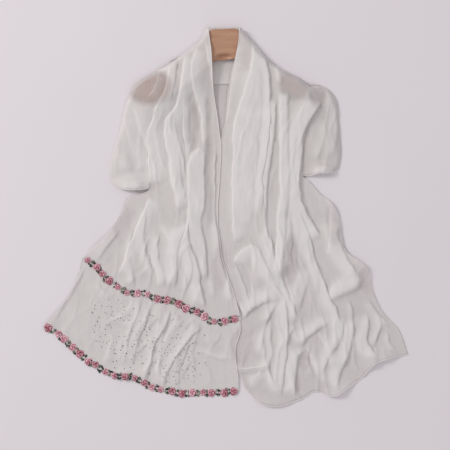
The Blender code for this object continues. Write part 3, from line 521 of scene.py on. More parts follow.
def hanger_outline():
    """The hanger's upper and lower edge."""
    x, top, bottom = np.array(HANGER, float).T
    return [smoothed(np.column_stack([x, edge])) for edge in (top, bottom)]


def rest_height(place):
    """What the cloth rests on: the surface, the back stretch, or the hanger and its slopes."""
    top, bottom = hanger_outline()
    x, drop = place.T
    inside = (x > top[0, 0]) & (x < top[-1, 0])
    inside &= (drop > np.interp(x, *top.T)) & (drop < np.interp(x, *bottom.T))
    ring = np.vstack([top, bottom[::-1], top[:1]])
    away = np.full(len(place), HANGER_SLOPE)
    near = near_box(place, ring, HANGER_SLOPE)
    away[near] = nearest(place[near], ring)[0]
    away[inside] = 0
    slope = np.clip(1 - away / HANGER_SLOPE, 0, 1) ** 2
    lie = BACK_CLEAR * (1 - smooth_step(drop, *BACK_ENDS))
    return lie + (HANGER_CLEAR - lie) * slope


def outer_edge(sections):
    return [(s.outer_x, s.outer_drop) for s in sections]


def silhouettes():
    """The folded outer edges, from the neck round each shoulder to the cap's hem."""
    left = outer_edge(LEFT_FRONT[: LEFT_CAP_JOINS[0] + 1]) + LEFT_CAP_EDGE[1:]
    right = outer_edge(RIGHT_FRONT[: RIGHT_CAP_JOINS[0] + 1]) + RIGHT_CAP_EDGE[1:]
    return [smoothed(left, 8), smoothed(right, 8)]


def rounded(place):
    """A quarter ellipse: 0 at the outer silhouette, 1 from OUTER_ROLL inwards."""
    inset = np.full(len(place), OUTER_ROLL)
    for line in silhouettes():
        near = near_box(place, line, OUTER_ROLL)
        inset[near] = np.minimum(inset[near], nearest(place[near], line)[0])
    return np.sqrt(np.clip(1 - (1 - np.clip(inset / OUTER_ROLL, 0, 1)) ** 2, 0, 1))


def crinkle(place, seed, sizes=((90, 1.0), (42, 0.6), (20, 0.3))):
    """Soft uneven noise from -1 to 1: sums of sine waves of several lengths and directions."""
    draw = np.random.default_rng(seed)
    total = np.zeros(len(place))
    for size, share in sizes:
        for _ in range(WAVES):
            turn, start = draw.uniform(0, 2 * np.pi, 2)
            wave = 2 * np.pi / (size * draw.uniform(0.7, 1.4))
            along = place[:, 0] * np.cos(turn) + place[:, 1] * np.sin(turn)
            total += share / WAVES * np.sin(wave * along + start)
    return total


def creases(place):
    """Small crossing creases: sharp ridges along the lines where smooth noise is zero.

    The noise is drawn out along the fall, which is slanted in each patch.
    """
    total = np.zeros(len(place))
    for number, patch in enumerate(PUCKERS):
        share = patches(place, [patch], 0.5, 1.0)
        x, drop = place.T
        along = np.column_stack([x - patch.slant * drop, CREASE_FALL * drop])
        noise = crinkle(along, SEED + 20 + number, CREASE_SIZES)
        total += share * np.clip(1 - np.abs(noise) * CREASE_SHARP, 0, 1) ** 1.4
    return total


def draped(place):
    """Each place's new place in plan, its height over the surface, and its folds' height.

    The cloth stands on what it rests on, with hills, folds and small crinkles, and rolls down to
    the surface at the outer silhouettes.
    """
    wander = np.column_stack([crinkle(place, SEED), crinkle(place, SEED + 1)]) * WANDER
    folds, flop = lift(place + wander, FOLDS)
    hills, _ = lift(place, HILLS)
    fine = FINE_RISE * (1 + crinkle(place * [1.0, FINE_FALL], SEED + 2, FINE_SIZES))
    raised = hills + FOLD_SCALE * folds + fine * smooth_step(place[:, 1], *FINE_STARTS)
    raised += creases(place) + patches(place, LIFTS, 0.2, 1.0)
    roll = rounded(place)
    height = SHELL + (rest_height(place) + np.maximum(raised, 0)) * roll
    return place + flop * FOLD_SCALE * roll[:, None], height, folds


# ---------------------------------------------------------------- grids of the cloth


def rows_of(sections, joins, step):
    """Rows about a step apart down the middle, with one on each join."""
    middle = [((s.inner_x + s.outer_x) / 2, (s.inner_drop + s.outer_drop) / 2) for s in sections]
    stops = [0, *joins, len(sections) - 1]
    rows = [[0.0]]
    for start, end in zip(stops, stops[1:]):
        run = length_along(smooth_line(middle, np.linspace(start, end, 80)))[-1]
        rows.append(np.linspace(start, end, max(2, round(run / step)) + 1)[1:])
    return np.concatenate(rows)


def bend_to(grid, shares, line, weight):
    """Moves a grid's rows so that the last one lies on a line, by each row's weight."""
    return grid + weight[:, None, None] * (read_by_length(line, shares) - grid[-1])


def front_grid(sections, joins, hem, step):
    """A front's plan: straight rows from its inner to its outer edge, the last bent to the hem."""
    at = rows_of(sections, joins, step)
    inner = smooth_line([(s.inner_x, s.inner_drop) for s in sections], at)
    outer = smooth_line(outer_edge(sections), at)
    widest = np.linalg.norm(outer - inner, axis=1).max()
    shares = np.linspace(0, 1, round(widest / step * DOWN_STRETCH) + 1)
    grid = inner[:, None] + shares[None, :, None] * (outer - inner)[:, None]
    weight = smooth_step(at, joins[1], len(sections) - 1) ** 1.5
    return bend_to(grid, shares, hem, weight), at, shares


def cap_grid(front, at, joins, edge, hem, step):
    """A cap's plan, from the front's outer edge to the silhouette, ending on its hem."""
    beside = front[(at >= joins[0]) & (at <= joins[1]), -1]
    outer = read_by_length(edge, np.linspace(0, 1, len(beside)))
    widest = np.linalg.norm(outer - beside, axis=1).max()
    shares = np.sin(np.linspace(0, 1, round(widest / step * DOWN_STRETCH) + 1) * np.pi / 2)
    grid = beside[:, None] + shares[None, :, None] * (outer - beside)[:, None]
    return bend_to(grid, shares, hem, np.linspace(0, 1, len(beside)) ** 3)


def end_grid(shares, step):
    """The beaded panel's plan, from the upper trim's line to the lower one."""
    top, bottom = read_by_length(UPPER_TRIM, shares), read_by_length(LOWER_TRIM, shares)
    count = round(np.linalg.norm(bottom - top, axis=1).mean() / step)
    down = np.linspace(0, 1, count + 1)
    straight = top[None] + down[:, None, None] * (bottom - top)[None]
    inner = read_by_length(END_INNER, down) - straight[:, 0]
    outer = read_by_length(END_OUTER, down) - straight[:, -1]
    settle = (np.sin(np.pi * down) ** 0.7)[:, None, None]
    across = shares[None, :, None]
    return straight + settle * ((1 - across) * inner[:, None] + across * outer[:, None])


def edge_weights(count, start, end, reach):
    """Rises from 0 at a free start or end of a grid to 1 at reach cells in."""
    k = np.arange(count)
    weight = np.ones(count)
    if start:
        weight *= smooth_step(k, 0, reach)
    if end:
        weight *= smooth_step(count - 1 - k, 0, reach)
    return weight


def raised_grid(plan, free, density, lip=0.0, share=1.0):
    """A plan grid draped: rows by columns by x, drop, height and thickness.

    free names the free edges, top, hem, inner and outer, where folds don't flop past the outline.
    Thickness is how much the cloth is doubled, from 0 to 1: the stretch's own density, and its
    folds, less in troughs and thin patches. The material makes thinner cloth both more see-through
    and darker: painted shade. A lip, times its share at each place, lifts or lowers the inner edge
    at its neighbour.
    """
    rows, columns = plan.shape[:2]
    flat = plan.reshape(-1, 2)
    place, height, folds = draped(flat)
    down = edge_weights(rows, "top" in free, "hem" in free, EDGE_ROWS)
    across = edge_weights(columns, "inner" in free, "outer" in free, EDGE_COLUMNS)
    weight = (down[:, None] * across)[..., None]
    place = plan + weight * (place.reshape(plan.shape) - plan)
    # Troughs and thin patches lower the thickness, which the material also paints darker: painted
    # shade
    thick = density + (1 - density) * smooth_step(folds, *DOUBLED)
    thick = thick - SUNK * smooth_step(-folds, 0, 5) - patches(flat, THIN, 0.7, 1.12)
    near_edge = 1 - smooth_step(np.arange(columns), 0, LIP_CELLS)
    height = np.maximum(height.reshape(rows, columns) + lip * near_edge * share, SHELL)
    return np.dstack([place, height, np.clip(thick, 0, 1).reshape(rows, columns)])


def crossing(drop):
    """Where the left front lies over the right one: 0 above, 1, and 0 again at the end panel."""
    return smooth_step(drop, *LIP_ENDS) * (1 - smooth_step(drop, *LIP_BACK))


def reach_share(place, patch):
    """How far places are from a patch's middle, as a share of its reach."""
    return np.hypot(*((place - (patch.x, patch.drop)) / (patch.half_x, patch.half_drop)).T)


def patches(place, table, full, end):
    """Soft ellipses: each patch's amount within the share full of its reach, fading to 0 at end.

    Where patches meet, the larger counts.
    """
    most = np.zeros(len(place))
    for patch in table:
        off = reach_share(place, patch)
        most = np.maximum(most, patch.amount * (1 - smooth_step(off, full, end)))
    return most


# ---------------------------------------------------------------- meshes


def to_world(points):
    """Garment millimetres (x, drop, height) to metres in the frame."""
    points = np.asarray(points, float)
    return NECK + np.stack([points[..., 0], -points[..., 1], points[..., 2]], axis=-1) * MM


def grid_quads(rows, columns, closed=False):
    """The quads of a grid; closed joins the last column to the first."""
    k = np.arange(rows * columns).reshape(rows, columns)
    if closed:
        k = np.hstack([k, k[:, :1]])
    quads = np.stack([k[:-1, :-1], k[:-1, 1:], k[1:, 1:], k[1:, :-1]], axis=-1)
    return quads.reshape(-1, 4).tolist()


def tube_faces(rings, sides):
    """The quads of a tube, and a flat cap at each end."""
    last = (rings - 1) * sides
    caps = [list(range(sides))[::-1], list(range(last, last + sides))]
    return grid_quads(rings, sides, closed=True) + caps


def placed(name, data):
    """A new object in the scene."""
    made = bpy.data.objects.new(name, data)
    bpy.context.scene.collection.objects.link(made)
    return made


def new_object(name, points, faces, material, uvs=None, tints=None, replaces=()):
    """A mesh object at the origin that rides on the part and stands for some of its nodes."""
    mesh = bpy.data.meshes.new(name)
    mesh.from_pydata(points.tolist(), [], faces)
    mesh.validate()
    if uvs is not None:
        corner = np.empty(len(mesh.loops), int)
        mesh.loops.foreach_get("vertex_index", corner)
        layer = mesh.uv_layers.new(name="cloth")
        layer.uv.foreach_set("vector", uvs[corner].ravel())
    if tints is not None:
        layer = mesh.color_attributes.new("tint", "FLOAT_COLOR", "POINT")
        layer.data.foreach_set("color", tints.ravel())
    mesh.shade_smooth()
    mesh.materials.append(material)
    piece = placed(name, mesh)
    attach(piece, "root")
    if replaces:
        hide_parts(*replaces)
    return piece


def facing_up(grid):
    """The grid with its columns in the order that makes its quads face up."""
    a, b, c = grid[0, 0, :2], grid[0, -1, :2], grid[-1, -1, :2]
    u, v = b - a, c - a
    return grid[:, ::-1] if u[0] * v[1] - u[1] * v[0] > 0 else grid


def area_of(points, faces):
    a, b, c, d = points[np.array(faces).T]
    return np.linalg.norm(np.cross(c - a, d - b), axis=1).sum() / 2


def sheet_piece(name, grid, material, replaces=()):
    """A stretch of cloth as a thin shell over its grid of x, drop, height and thickness."""
    grid = facing_up(grid)
    tints = np.repeat(grid[..., 3:].reshape(-1, 1), 4, axis=1)
    grid = grid[..., :3]
    points = to_world(grid.reshape(-1, 3))
    faces = grid_quads(*grid.shape[:2])
    across, down = length_along(grid, 1), length_along(grid, 0)
    uvs = np.stack([across - across[:, -1:] / 2, down], axis=-1).reshape(-1, 2) * MM
    piece = new_object(name, points, faces, material, uvs, tints, replaces)
    wall = piece.modifiers.new("shell", "SOLIDIFY")
    wall.thickness = SHELL * MM
    wall.offset = 1
    wide, long = float(across[:, -1].max()) * MM, float(down.mean(axis=1)[-1]) * MM
    area = min(area_of(points, faces), wide * long)
    return piece, (wide, long), area


def tube_mesh(path, radius, sides=6):
    """Rings round a path, each turned square to it; both ends are closed by a flat cap."""
    run = np.gradient(path, axis=0)
    run /= np.maximum(np.linalg.norm(run, axis=1), 1e-9)[:, None]
    across = np.cross(run, [0.0, 0.0, 1.0])
    across /= np.maximum(np.linalg.norm(across, axis=1), 1e-9)[:, None]
    up = np.cross(across, run)
    turn = np.linspace(0, 2 * np.pi, sides, endpoint=False)
    turn = turn[:, None]
    ring = np.cos(turn) * across[:, None] + np.sin(turn) * up[:, None]
    return (path[:, None] + radius * ring).reshape(-1, 3), tube_faces(len(path), sides)


def joined(parts):
    """Several (points, faces) as one."""
    points, faces, start = [], [], 0
    for part_points, part_faces in parts:
        points.append(part_points)
        faces += [[start + i for i in f] for f in part_faces]
        start += len(part_points)
    return np.vstack(points), faces


# ---------------------------------------------------------------- materials


class Value:
    """A shader socket on which arithmetic adds Math nodes."""

    def __init__(self, tree, socket):
        self.tree, self.socket = tree, socket

    def _math(self, operation, other):
        return node(self.tree, "ShaderNodeMath", {"operation": operation}, {0: self, 1: other})

    def __add__(self, other):
        return self._math("ADD", other)

    def __mul__(self, other):
        return self._math("MULTIPLY", other)

    __radd__ = __add__
    __rmul__ = __mul__


def feed(tree, target, inputs):
    """Sets a node's sockets, or links them where a value is a socket itself."""
    for key, value in inputs.items():
        if isinstance(value, Value):
            tree.links.new(value.socket, target.inputs[key])
        else:
            target.inputs[key].default_value = value


def node(tree, kind, setup=None, inputs=None, output=0):
    """Adds a node: its settings first, then its sockets' values or links; returns an output."""
    made = tree.nodes.new(kind)
    for name, value in (setup or {}).items():
        if name == "stops":
            for element, (place, colour) in zip(made.color_ramp.elements, value):
                element.position = place
                element.color = (*colour, 1)
        else:
            setattr(made, name, value)
    feed(tree, made, inputs or {})
    return Value(tree, made.outputs[output])


def noise(tree, place, scale, detail=2.0):
    return node(tree, "ShaderNodeTexNoise", None,
                {"Vector": place, "Scale": scale, "Detail": detail})


def bumped(tree, height, strength, distance):
    return node(tree, "ShaderNodeBump", None,
                {"Strength": strength, "Distance": distance, "Height": height})


def mixed(tree, factor, first, second, blend="MIX"):
    """Two colours mixed, each a socket or linear light."""
    ends = [end if isinstance(end, Value) else (*end, 1) for end in (first, second)]
    return node(tree, "ShaderNodeMix", {"data_type": "RGBA", "blend_type": blend},
                {"Factor": factor, "A": ends[0], "B": ends[1]}, output=2)


def linear(colour):
    """An sRGB colour from 0 to 255 as linear light."""
    share = np.asarray(colour, float) / 255
    return tuple(np.where(share <= 0.04045, share / 12.92, ((share + 0.055) / 1.055) ** 2.4))


def new_material(name):
    """A material, its node tree, its shader and its object coordinates."""
    made = bpy.data.materials.new(name)
    made.use_nodes = True
    tree = made.node_tree
    return made, tree, tree.nodes["Principled BSDF"], node(tree, "ShaderNodeTexCoord", output=3)


def chiffon_material(sizes):
    """Sheer matt chiffon: a fine weave, crêpe crinkles, thinner and thicker patches, soft sheen,
    and painted shade where it is thin or in a trough.
    """
    made, tree, shader, place = new_material("sheer_chiffon")
    weave = node(
        tree, "ShaderNodeTexWave", {"wave_type": "BANDS", "bands_direction": "DIAGONAL"},
        {"Vector": node(tree, "ShaderNodeUVMap", {"uv_map": "cloth"}), "Scale": 260.0,
         "Distortion": 1.0},
    )
    thick = node(tree, "ShaderNodeAttribute", {"attribute_name": "tint"}, output=2)
    patch = noise(tree, place, 14.0, 3.0)
    grain = noise(tree, place, 420.0) * 0.7 + weave * 0.3
    shade, colour = linear(sizes.cloth_painted_shade), linear(sizes.cloth_colour)
    opacity = thick * (sizes.dense - sizes.opacity) + patch * 0.08 + grain * 0.06
    feed(tree, shader, {
        # Painted shade: the base colour runs from the painted shade colour where the cloth is thin
        # or in a trough to its white where folds double it, with random patches
        "Base Color": mixed(tree, thick * 0.75 + patch * 0.25, shade, colour),
        "Roughness": 0.92, "Alpha": opacity + (sizes.opacity - 0.07),
        "Normal": bumped(tree, grain, 0.18, 0.0006),
        "Sheen Weight": 0.25, "Sheen Roughness": 0.5, "Specular IOR Level": 0.15,
    })
    return made


def hem_material(sizes):
    """The rolled and stitched hem, denser than the cloth."""
    made, tree, shader, place = new_material("rolled_hem")
    stitch = noise(tree, place, 700.0, 1.0)
    # Stitches speckled at random between the cloth's painted shade colour and its white
    shade, colour = linear(sizes.cloth_painted_shade), linear(sizes.cloth_colour)
    feed(tree, shader, {
        "Base Color": mixed(tree, stitch, shade, colour), "Roughness": 0.85,
        "Normal": bumped(tree, stitch, 0.4, 0.0005),
    })
    return made


def wood_material(sizes):
    """Lacquered beech: long grain along the hanger, with darker pores and soft rings."""
    made, tree, shader, place = new_material("lacquered_beech")
    along = node(tree, "ShaderNodeMapping", None, {"Vector": place, "Scale": (7.0, 45.0, 45.0)})
    grain = noise(tree, along, 1.6, 5.0) * 0.75 + noise(tree, along, 14.0) * 0.25
    stops = [(0.3, linear(sizes.wood_dark)), (0.62, linear(sizes.wood_colour))]
    feed(tree, shader, {
        "Base Color": node(tree, "ShaderNodeValToRGB", {"stops": stops}, {"Fac": grain}),
        "Roughness": 0.38 + grain * 0.2, "Normal": bumped(tree, grain, 0.12, 0.0008),
        "Coat Weight": 0.15, "Coat Roughness": 0.25,
    })
    return made


def thread_material():
    """Satin-stitch thread: the colour is painted on the mesh, with fine thread ridges."""
    made, tree, shader, place = new_material("thread")
    tint = node(tree, "ShaderNodeAttribute", {"attribute_name": "tint"})
    threads = noise(tree, place, 900.0)
    feed(tree, shader, {
        "Base Color": mixed(tree, 0.35, tint, threads, "MULTIPLY"), "Roughness": 0.6,
        "Normal": bumped(tree, threads, 0.5, 0.0004), "Sheen Weight": 0.2,
    })
    return made


def bead_material(name, colour, metallic):
    """Small faceted beads and sequins."""
    made, tree, shader, place = new_material(name)
    painted_glint_and_gloss = noise(tree, place, 300.0)
    # Painted glint: the base colour brightens in random spots, and the same noise varies the
    # roughness
    bright = linear(colour)
    feed(tree, shader, {
        "Base Color": mixed(tree, painted_glint_and_gloss, [c * 0.6 for c in bright], bright),
        "Roughness": 0.2 + painted_glint_and_gloss * 0.2, "Metallic": metallic,
    })
    return made


# ---------------------------------------------------------------- settings


def colour_setting(name, default, description):
    return bpy.props.FloatVectorProperty(
        name=name, description=description, default=default, size=3, min=0, max=255
    )


def number_setting(name, default, low, high, description):
    return bpy.props.FloatProperty(
        name=name, description=description, default=default, min=low, max=high
    )


class HijabSettings(bpy.types.PropertyGroup):
    """Sizes and colours that a user would change."""

    cloth_colour: colour_setting("Cloth", (237, 233, 231), "White of the chiffon's raised folds")
    # Painted shade: the colour that thin cloth and troughs are painted towards
    cloth_painted_shade: colour_setting("Cloth shade", (219, 211, 209), "Where it is thin, and its patches")
    wood_colour: colour_setting("Wood", (184, 141, 113), "Light grain of the hanger")
    wood_dark: colour_setting("Dark wood", (160, 117, 90), "Dark grain of the hanger")
    floor_colour: colour_setting("Surface", (227, 221, 224), "The surface that it lies on")
    # Deep and light rose: thread tones that also carry painted shade in the hollows and painted
    # highlight on the petals' edges
    rose_deep_and_shade: colour_setting("Deep rose", (128, 34, 54), "Thread in the roses' hollows")
    rose_mid: colour_setting("Rose", (212, 104, 130), "Thread of the petals")
    rose_light_and_highlight: colour_setting("Light rose", (255, 220, 228), "Thread of the petals' edges")
    leaf_dark: colour_setting("Dark leaf", (26, 34, 28), "Thread of the dark leaves")
    leaf_light: colour_setting("Light leaf", (136, 142, 112), "Thread of the pale leaves")
    opacity: number_setting("Opacity", 0.27, 0.1, 1, "How much one face of the thin cloth hides")
    dense: number_setting("Dense", 0.82, 0.1, 1, "How much one face hides where folds double it")
    cell: number_setting("Cell", 5.0, 3, 12, "Spacing of the cloth's rows in millimetres")
    rose_size: number_setting("Rose", 9.8, 4, 15, "Radius of a rose in millimetres")
    rose_pitch: number_setting("Rose spacing", 24.5, 15, 60, "Spacing of the roses in millimetres")
    bead_size: number_setting("Bead", 1.1, 0.5, 3, "Radius of a bead in millimetres")


def settings():
    return bpy.context.scene.hijab


def chiffon():
    """The chiffon's material, made once and used by every stretch of cloth."""
    return bpy.data.materials.get("sheer_chiffon") or chiffon_material(settings())


def cloth_grids(step):
    """Each stretch's grid, by the name of its node."""
    front, at, shares = front_grid(LEFT_FRONT, LEFT_CAP_JOINS, UPPER_TRIM, step)
    left_cap = cap_grid(front, at, LEFT_CAP_JOINS, LEFT_CAP_EDGE, LEFT_CAP_HEM, step)
    right, right_at, _ = front_grid(RIGHT_FRONT, RIGHT_CAP_JOINS, RIGHT_HEM, step)
    across = np.linspace(1, 0, right.shape[1]) ** 4
    right[..., 0] -= OVERLAP * across * crossing(right[..., 1])
    right_cap = cap_grid(right, right_at, RIGHT_CAP_JOINS, RIGHT_CAP_EDGE, RIGHT_CAP_HEM, step)
    end = end_grid(shares, step * 0.8)
    across = np.linspace(1, 0, end.shape[1]) ** 4
    end[..., 0] += END_OVERLAP * across * smooth_step(end[..., 1], *END_JOINS)
    high, low = RIGHT_DENSITY
    right_density = high + (low - high) * smooth_step(right[..., 1].ravel(), *RIGHT_SPREADS)
    caps = ("hem", "outer")
    return {
        "left_front": raised_grid(
            front, ("top", "inner"), DENSITY["left_front"], LIP, crossing(front[..., 1])
        ),
        "left_cap": raised_grid(left_cap, caps, DENSITY["left_cap"]),
        "left_end": raised_grid(end, ("hem", "inner", "outer"), DENSITY["left_end"], 2 * LIP),
        "right_front": raised_grid(
            right, ("top", "inner", "hem"), right_density, -LIP, crossing(right[..., 1])
        ),
        "right_cap": raised_grid(right_cap, caps, DENSITY["right_cap"]),
    }


GRIDS = {}                  # the cloth's grids, kept for the pieces that lie on them


class HIJAB_OT_stage(bpy.types.Operator):
    """Lays the pale surface and sets the soft lights and the camera straight above"""

    bl_idname = "hijab.stage"
    bl_label = "Surface, lights and camera"

    def execute(self, context):
        made, tree, shader, place = new_material("surface")
        base = linear(settings().floor_colour)
        mottle = mixed(tree, noise(tree, place, 3.0), base, [c * 0.97 for c in base])
        feed(tree, shader, {"Base Color": mottle, "Roughness": 0.9, "Specular IOR Level": 0.1})
        mesh = bpy.data.meshes.new("surface")
        corners = np.array([(-1, -1, 0), (1, -1, 0), (1, 1, 0), (-1, 1, 0)]) * FLOOR_HALF
        mesh.from_pydata(corners.tolist(), [], [(0, 1, 2, 3)])
        mesh.materials.append(made)
        floor = placed("surface", mesh)

        for name, place, size, power, colour in LIGHTS:
            data = bpy.data.lights.new(name, "AREA")
            data.shape, data.size, data.energy = "DISK", size, power
            data.color = colour
            lamp = placed(name, data)
            lamp.location = place
            lamp.rotation_euler = (-Vector(place)).to_track_quat("-Z", "Y").to_euler()

        world = bpy.data.worlds.new("studio")
        world.use_nodes = True
        background = world.node_tree.nodes["Background"]
        background.inputs["Color"].default_value = (*WORLD_COLOUR, 1)
        background.inputs["Strength"].default_value = WORLD_STRENGTH
        context.scene.world = world

        lens = bpy.data.cameras.new("camera")
        lens.sensor_fit = "AUTO"
        lens.angle = 2 * math.atan(VIEW_WIDTH / 2 / CAMERA_HEIGHT)
        camera = placed("camera", lens)
        camera.location = (NECK[0] + VIEW_X * MM, NECK[1] - VIEW_DROP * MM, CAMERA_HEIGHT)
        context.scene.camera = camera
        context.scene.view_settings.view_transform = "Standard"
        context.scene.cycles.transparent_max_bounces = 32
        return {"FINISHED"}


class HIJAB_OT_hanger(bpy.types.Operator):
    """Shapes the wooden hanger from sections across it"""

    bl_idname = "hijab.hanger"
    bl_label = "Hanger"

    def execute(self, context):
        top, bottom = hanger_outline()
        x = np.linspace(top[0, 0], top[-1, 0], HANGER_RIBS)
        above, below = np.interp(x, *top.T), np.interp(x, *bottom.T)
        centre, half = (above + below) / 2, (below - above) / 2
        thick = HANGER_THICK / 2 * np.clip(half / HANGER_SLIM[0], HANGER_SLIM[1], 1) ** 0.5
        turn = np.linspace(0, 2 * np.pi, HANGER_SIDES, endpoint=False)
        wide, high = (
            np.sign(f) * np.abs(f) ** (2 / HANGER_ROUND) for f in (np.cos(turn), np.sin(turn))
        )
        middle = HANGER_FLOOR + HANGER_THICK / 2
        points = np.stack([
            np.repeat(x[:, None], len(turn), axis=1),
            centre[:, None] + half[:, None] * wide,
            middle + thick[:, None] * high,
        ], axis=-1).reshape(-1, 3)
        points[:, 2] -= (points[:, 2] > middle) * patches(points[:, :2], [SCOOP], 0.1, 1.05)
        faces = [f[::-1] for f in tube_faces(len(x), len(turn))]
        material = wood_material(settings())
        new_object("wooden_hanger", to_world(points), faces, material, replaces=("hanger",))
        return {"FINISHED"}


def level_grid(rows, left, right, level, ripple, seed, density):
    """A flat stretch between two side edges, with a slight ripple."""
    across = np.linspace(0, 1, LEVEL_COLUMNS)
    x = left[:, None] + across * (right - left)[:, None]
    flat = np.stack([x, np.repeat(rows[:, None], len(across), axis=1)], axis=-1).reshape(-1, 2)
    height = level + ripple * crinkle(flat, seed)
    return np.column_stack([flat, height, np.full(len(flat), density)]).reshape(*x.shape, 4)


class HIJAB_OT_back(bpy.types.Operator):
    """Lays the flat back stretch and its turned-down neck edge"""

    bl_idname = "hijab.back"
    bl_label = "Back stretch"

    def execute(self, context):
        step = settings().cell
        drop, left, right = np.array(BACK_STRETCH, float).T
        rows = np.arange(drop[0], drop[-1] + step / 2, step)
        left, right = np.interp(rows, drop, left), np.interp(rows, drop, right)
        grid = level_grid(rows, left, right, BACK_LEVEL, BACK_RIPPLE, SEED + 5, BACK_DENSITY)
        sheet, flat_size, area = sheet_piece("back_sheet", grid, chiffon(), ("back_stretch",))

        rows = np.linspace(NECK_DROP, TURNED_DEPTH, TURNED_ROWS)
        left, right = np.full(len(rows), TURNED_LEFT), np.full(len(rows), TURNED_RIGHT)
        grid = level_grid(rows, left, right, TURNED_LEVEL, TURNED_RIPPLE, SEED + 6, TURNED_DENSITY)
        turned, flat_size, area = sheet_piece("turned_neck_edge", grid, chiffon())
        return {"FINISHED"}


class HIJAB_OT_cloth(bpy.types.Operator):
    """Drapes the fronts, the caps over the hanger's ends and the beaded end panel"""

    bl_idname = "hijab.cloth"
    bl_label = "Fronts, caps and end panel"

    def execute(self, context):
        GRIDS.update(cloth_grids(settings().cell))
        for name, grid in GRIDS.items():
            piece, flat_size, area = sheet_piece(name + "_cloth", grid, chiffon(), (name,))
        return {"FINISHED"}


def drawn_on(grid, route, points=24):
    """A line drawn on laid cloth: the route in even steps, at the height of the nearest point."""
    route = np.array(route, float)
    spots = read_at(route, range(len(route)), np.linspace(0, len(route) - 1, points))
    cloth = grid[..., :3].reshape(-1, 3)
    close = np.linalg.norm(cloth[None, :, :2] - spots[:, None], axis=2).argmin(axis=1)
    height = np.pad(cloth[close, 2], 1, mode="edge")
    return np.column_stack([spots, np.convolve(height, [0.25, 0.5, 0.25], mode="valid")])


class HIJAB_OT_hems(bpy.types.Operator):
    """Rolls a narrow hem along each free edge"""

    bl_idname = "hijab.hems"
    bl_label = "Rolled hems"

    def execute(self, context):
        left, right, end = (GRIDS[name] for name in ("left_front", "right_front", "left_end"))
        edges = [
            left[:, 0], right[:, 0], end[:, 0], end[:, -1], GRIDS["left_cap"][-1],
            GRIDS["right_cap"][-1], right[-1], drawn_on(right, TURNED_HEM),
        ]
        paths = [to_world(edge[:, :3] + [0, 0, HEM_RADIUS * 0.5]) for edge in edges]
        points, faces = joined([tube_mesh(path, HEM_RADIUS * MM) for path in paths])
        points[:, 2] = np.maximum(points[:, 2], LOWEST * MM)
        new_object("rolled_hems", points, faces, hem_material(settings()))
        return {"FINISHED"}


def trim_frame(above, below, line, pitch):
    """Places along a band, each with its directions along the band, down the cloth and up.

    The rows above and below the band's line say which way the cloth goes down.
    """
    along = length_along(line)
    count = max(2, round(along[-1] / pitch))
    at = (np.arange(count) + 0.5) / count * along[-1]
    run = read_at(line, along, at + 3) - read_at(line, along, at - 3)
    run /= np.linalg.norm(run, axis=1)[:, None]
    down = read_at(below - above, along, at)
    down -= (down * run).sum(axis=1)[:, None] * run
    down /= np.linalg.norm(down, axis=1)[:, None]
    up = np.cross(run, down)
    up *= np.sign(up[:, 2:])
    return read_at(line, along, at), run, down, up


def stitched(place, axes, x, y, height):
    """Points of a stitched shape: x along the band, y down it and height off the cloth."""
    run, down, up = axes
    points = place + x[..., None] * run + y[..., None] * down + height[..., None] * up
    return points.reshape(-1, 3)


def rose_mesh(place, axes, radius, turn, tone, colours):
    """An embroidered rose: a dome of petals that wind outwards in a spiral.

    Height is a dome plus a saw-tooth of angle and radius, so each petal's edge stands over the
    next. The heart winds in one arm, and the petals round it in PETALS arms. Colours go from deep
    in the hollows over mid to light at the petals' edges, following the saw-tooth and the ring
    outwards: the thread's tones, with painted shade in the hollows and painted highlight on the
    raised edges. One side of each rose is darker than the other, turned with the rose.
    """
    angle, out = np.meshgrid(np.linspace(0, 2 * np.pi, 24, endpoint=False), np.linspace(0.04, 1, 9))
    spiral = (PETALS * (angle + turn) / (2 * np.pi) + 1.5 * out + 0.4 * out**2) % 1.0
    heart = ((angle + turn) / (2 * np.pi) + 2.4 * out) % 1.0
    petal = np.where(out < HEART, heart, spiral)
    lobes = LOBES[0] * np.cos(PETALS * (angle + turn)) + LOBES[1] * np.cos(5 * angle - turn)
    edge = radius * out * (1 + lobes * out)
    step = 1.5 * (petal - 0.5) * np.sin(np.pi * np.clip(out, 0.1, 1)) ** 0.5
    height = ROSE_RISE * (np.sqrt(1.04 - out**2) - 0.2) + step
    height = np.where(out > 0.99, -0.3, height)
    points = stitched(place, axes, edge * np.cos(angle), edge * np.sin(angle), height)
    faces = grid_quads(*angle.shape, closed=True) + [list(range(angle.shape[1]))[::-1]]
    deep, mid, light = colours
    # Painted shade and highlight over the thread's tones: darker in the saw-tooth's hollows,
    # lighter at the raised petal edges and outwards
    ring = smooth_step(out, 0.15, 0.85)
    side = 0.26 * np.cos(angle - 2 * turn) * out
    mix = np.clip(petal**1.3 * 1.7 - 0.48 + 0.34 * ring + side + tone, 0, 1)[..., None]
    low, high = deep + (mix * 2) * (mid - deep), mid + (mix * 2 - 1) * (light - mid)
    return points, faces, np.where(mix < 0.5, low, high).reshape(-1, 3)


def leaf_mesh(place, axes, length, width, turn, tint):
    """A pointed leaf: width is sin(pi s)^0.8 along its length s, arched over a middle vein."""
    s, across = np.meshgrid(np.linspace(0.0, 1, 8), np.linspace(-1, 1, 5), indexing="ij")
    half = width / 2 * np.sin(np.pi * np.clip(s, 0.02, 0.98)) ** 0.8
    x, y = s * length, across * half
    height = 0.9 * (1 - across**2) * np.sin(np.pi * s) ** 0.5 + 0.25 - 0.25 * (np.abs(across) < 0.2)
    c, q = math.cos(turn), math.sin(turn)
    points = stitched(place, axes, c * x - q * y, q * x + c * y, height)
    shade = tint * (0.75 + 0.35 * np.abs(across)[..., None])
    return points, grid_quads(*s.shape), shade.reshape(-1, 3)


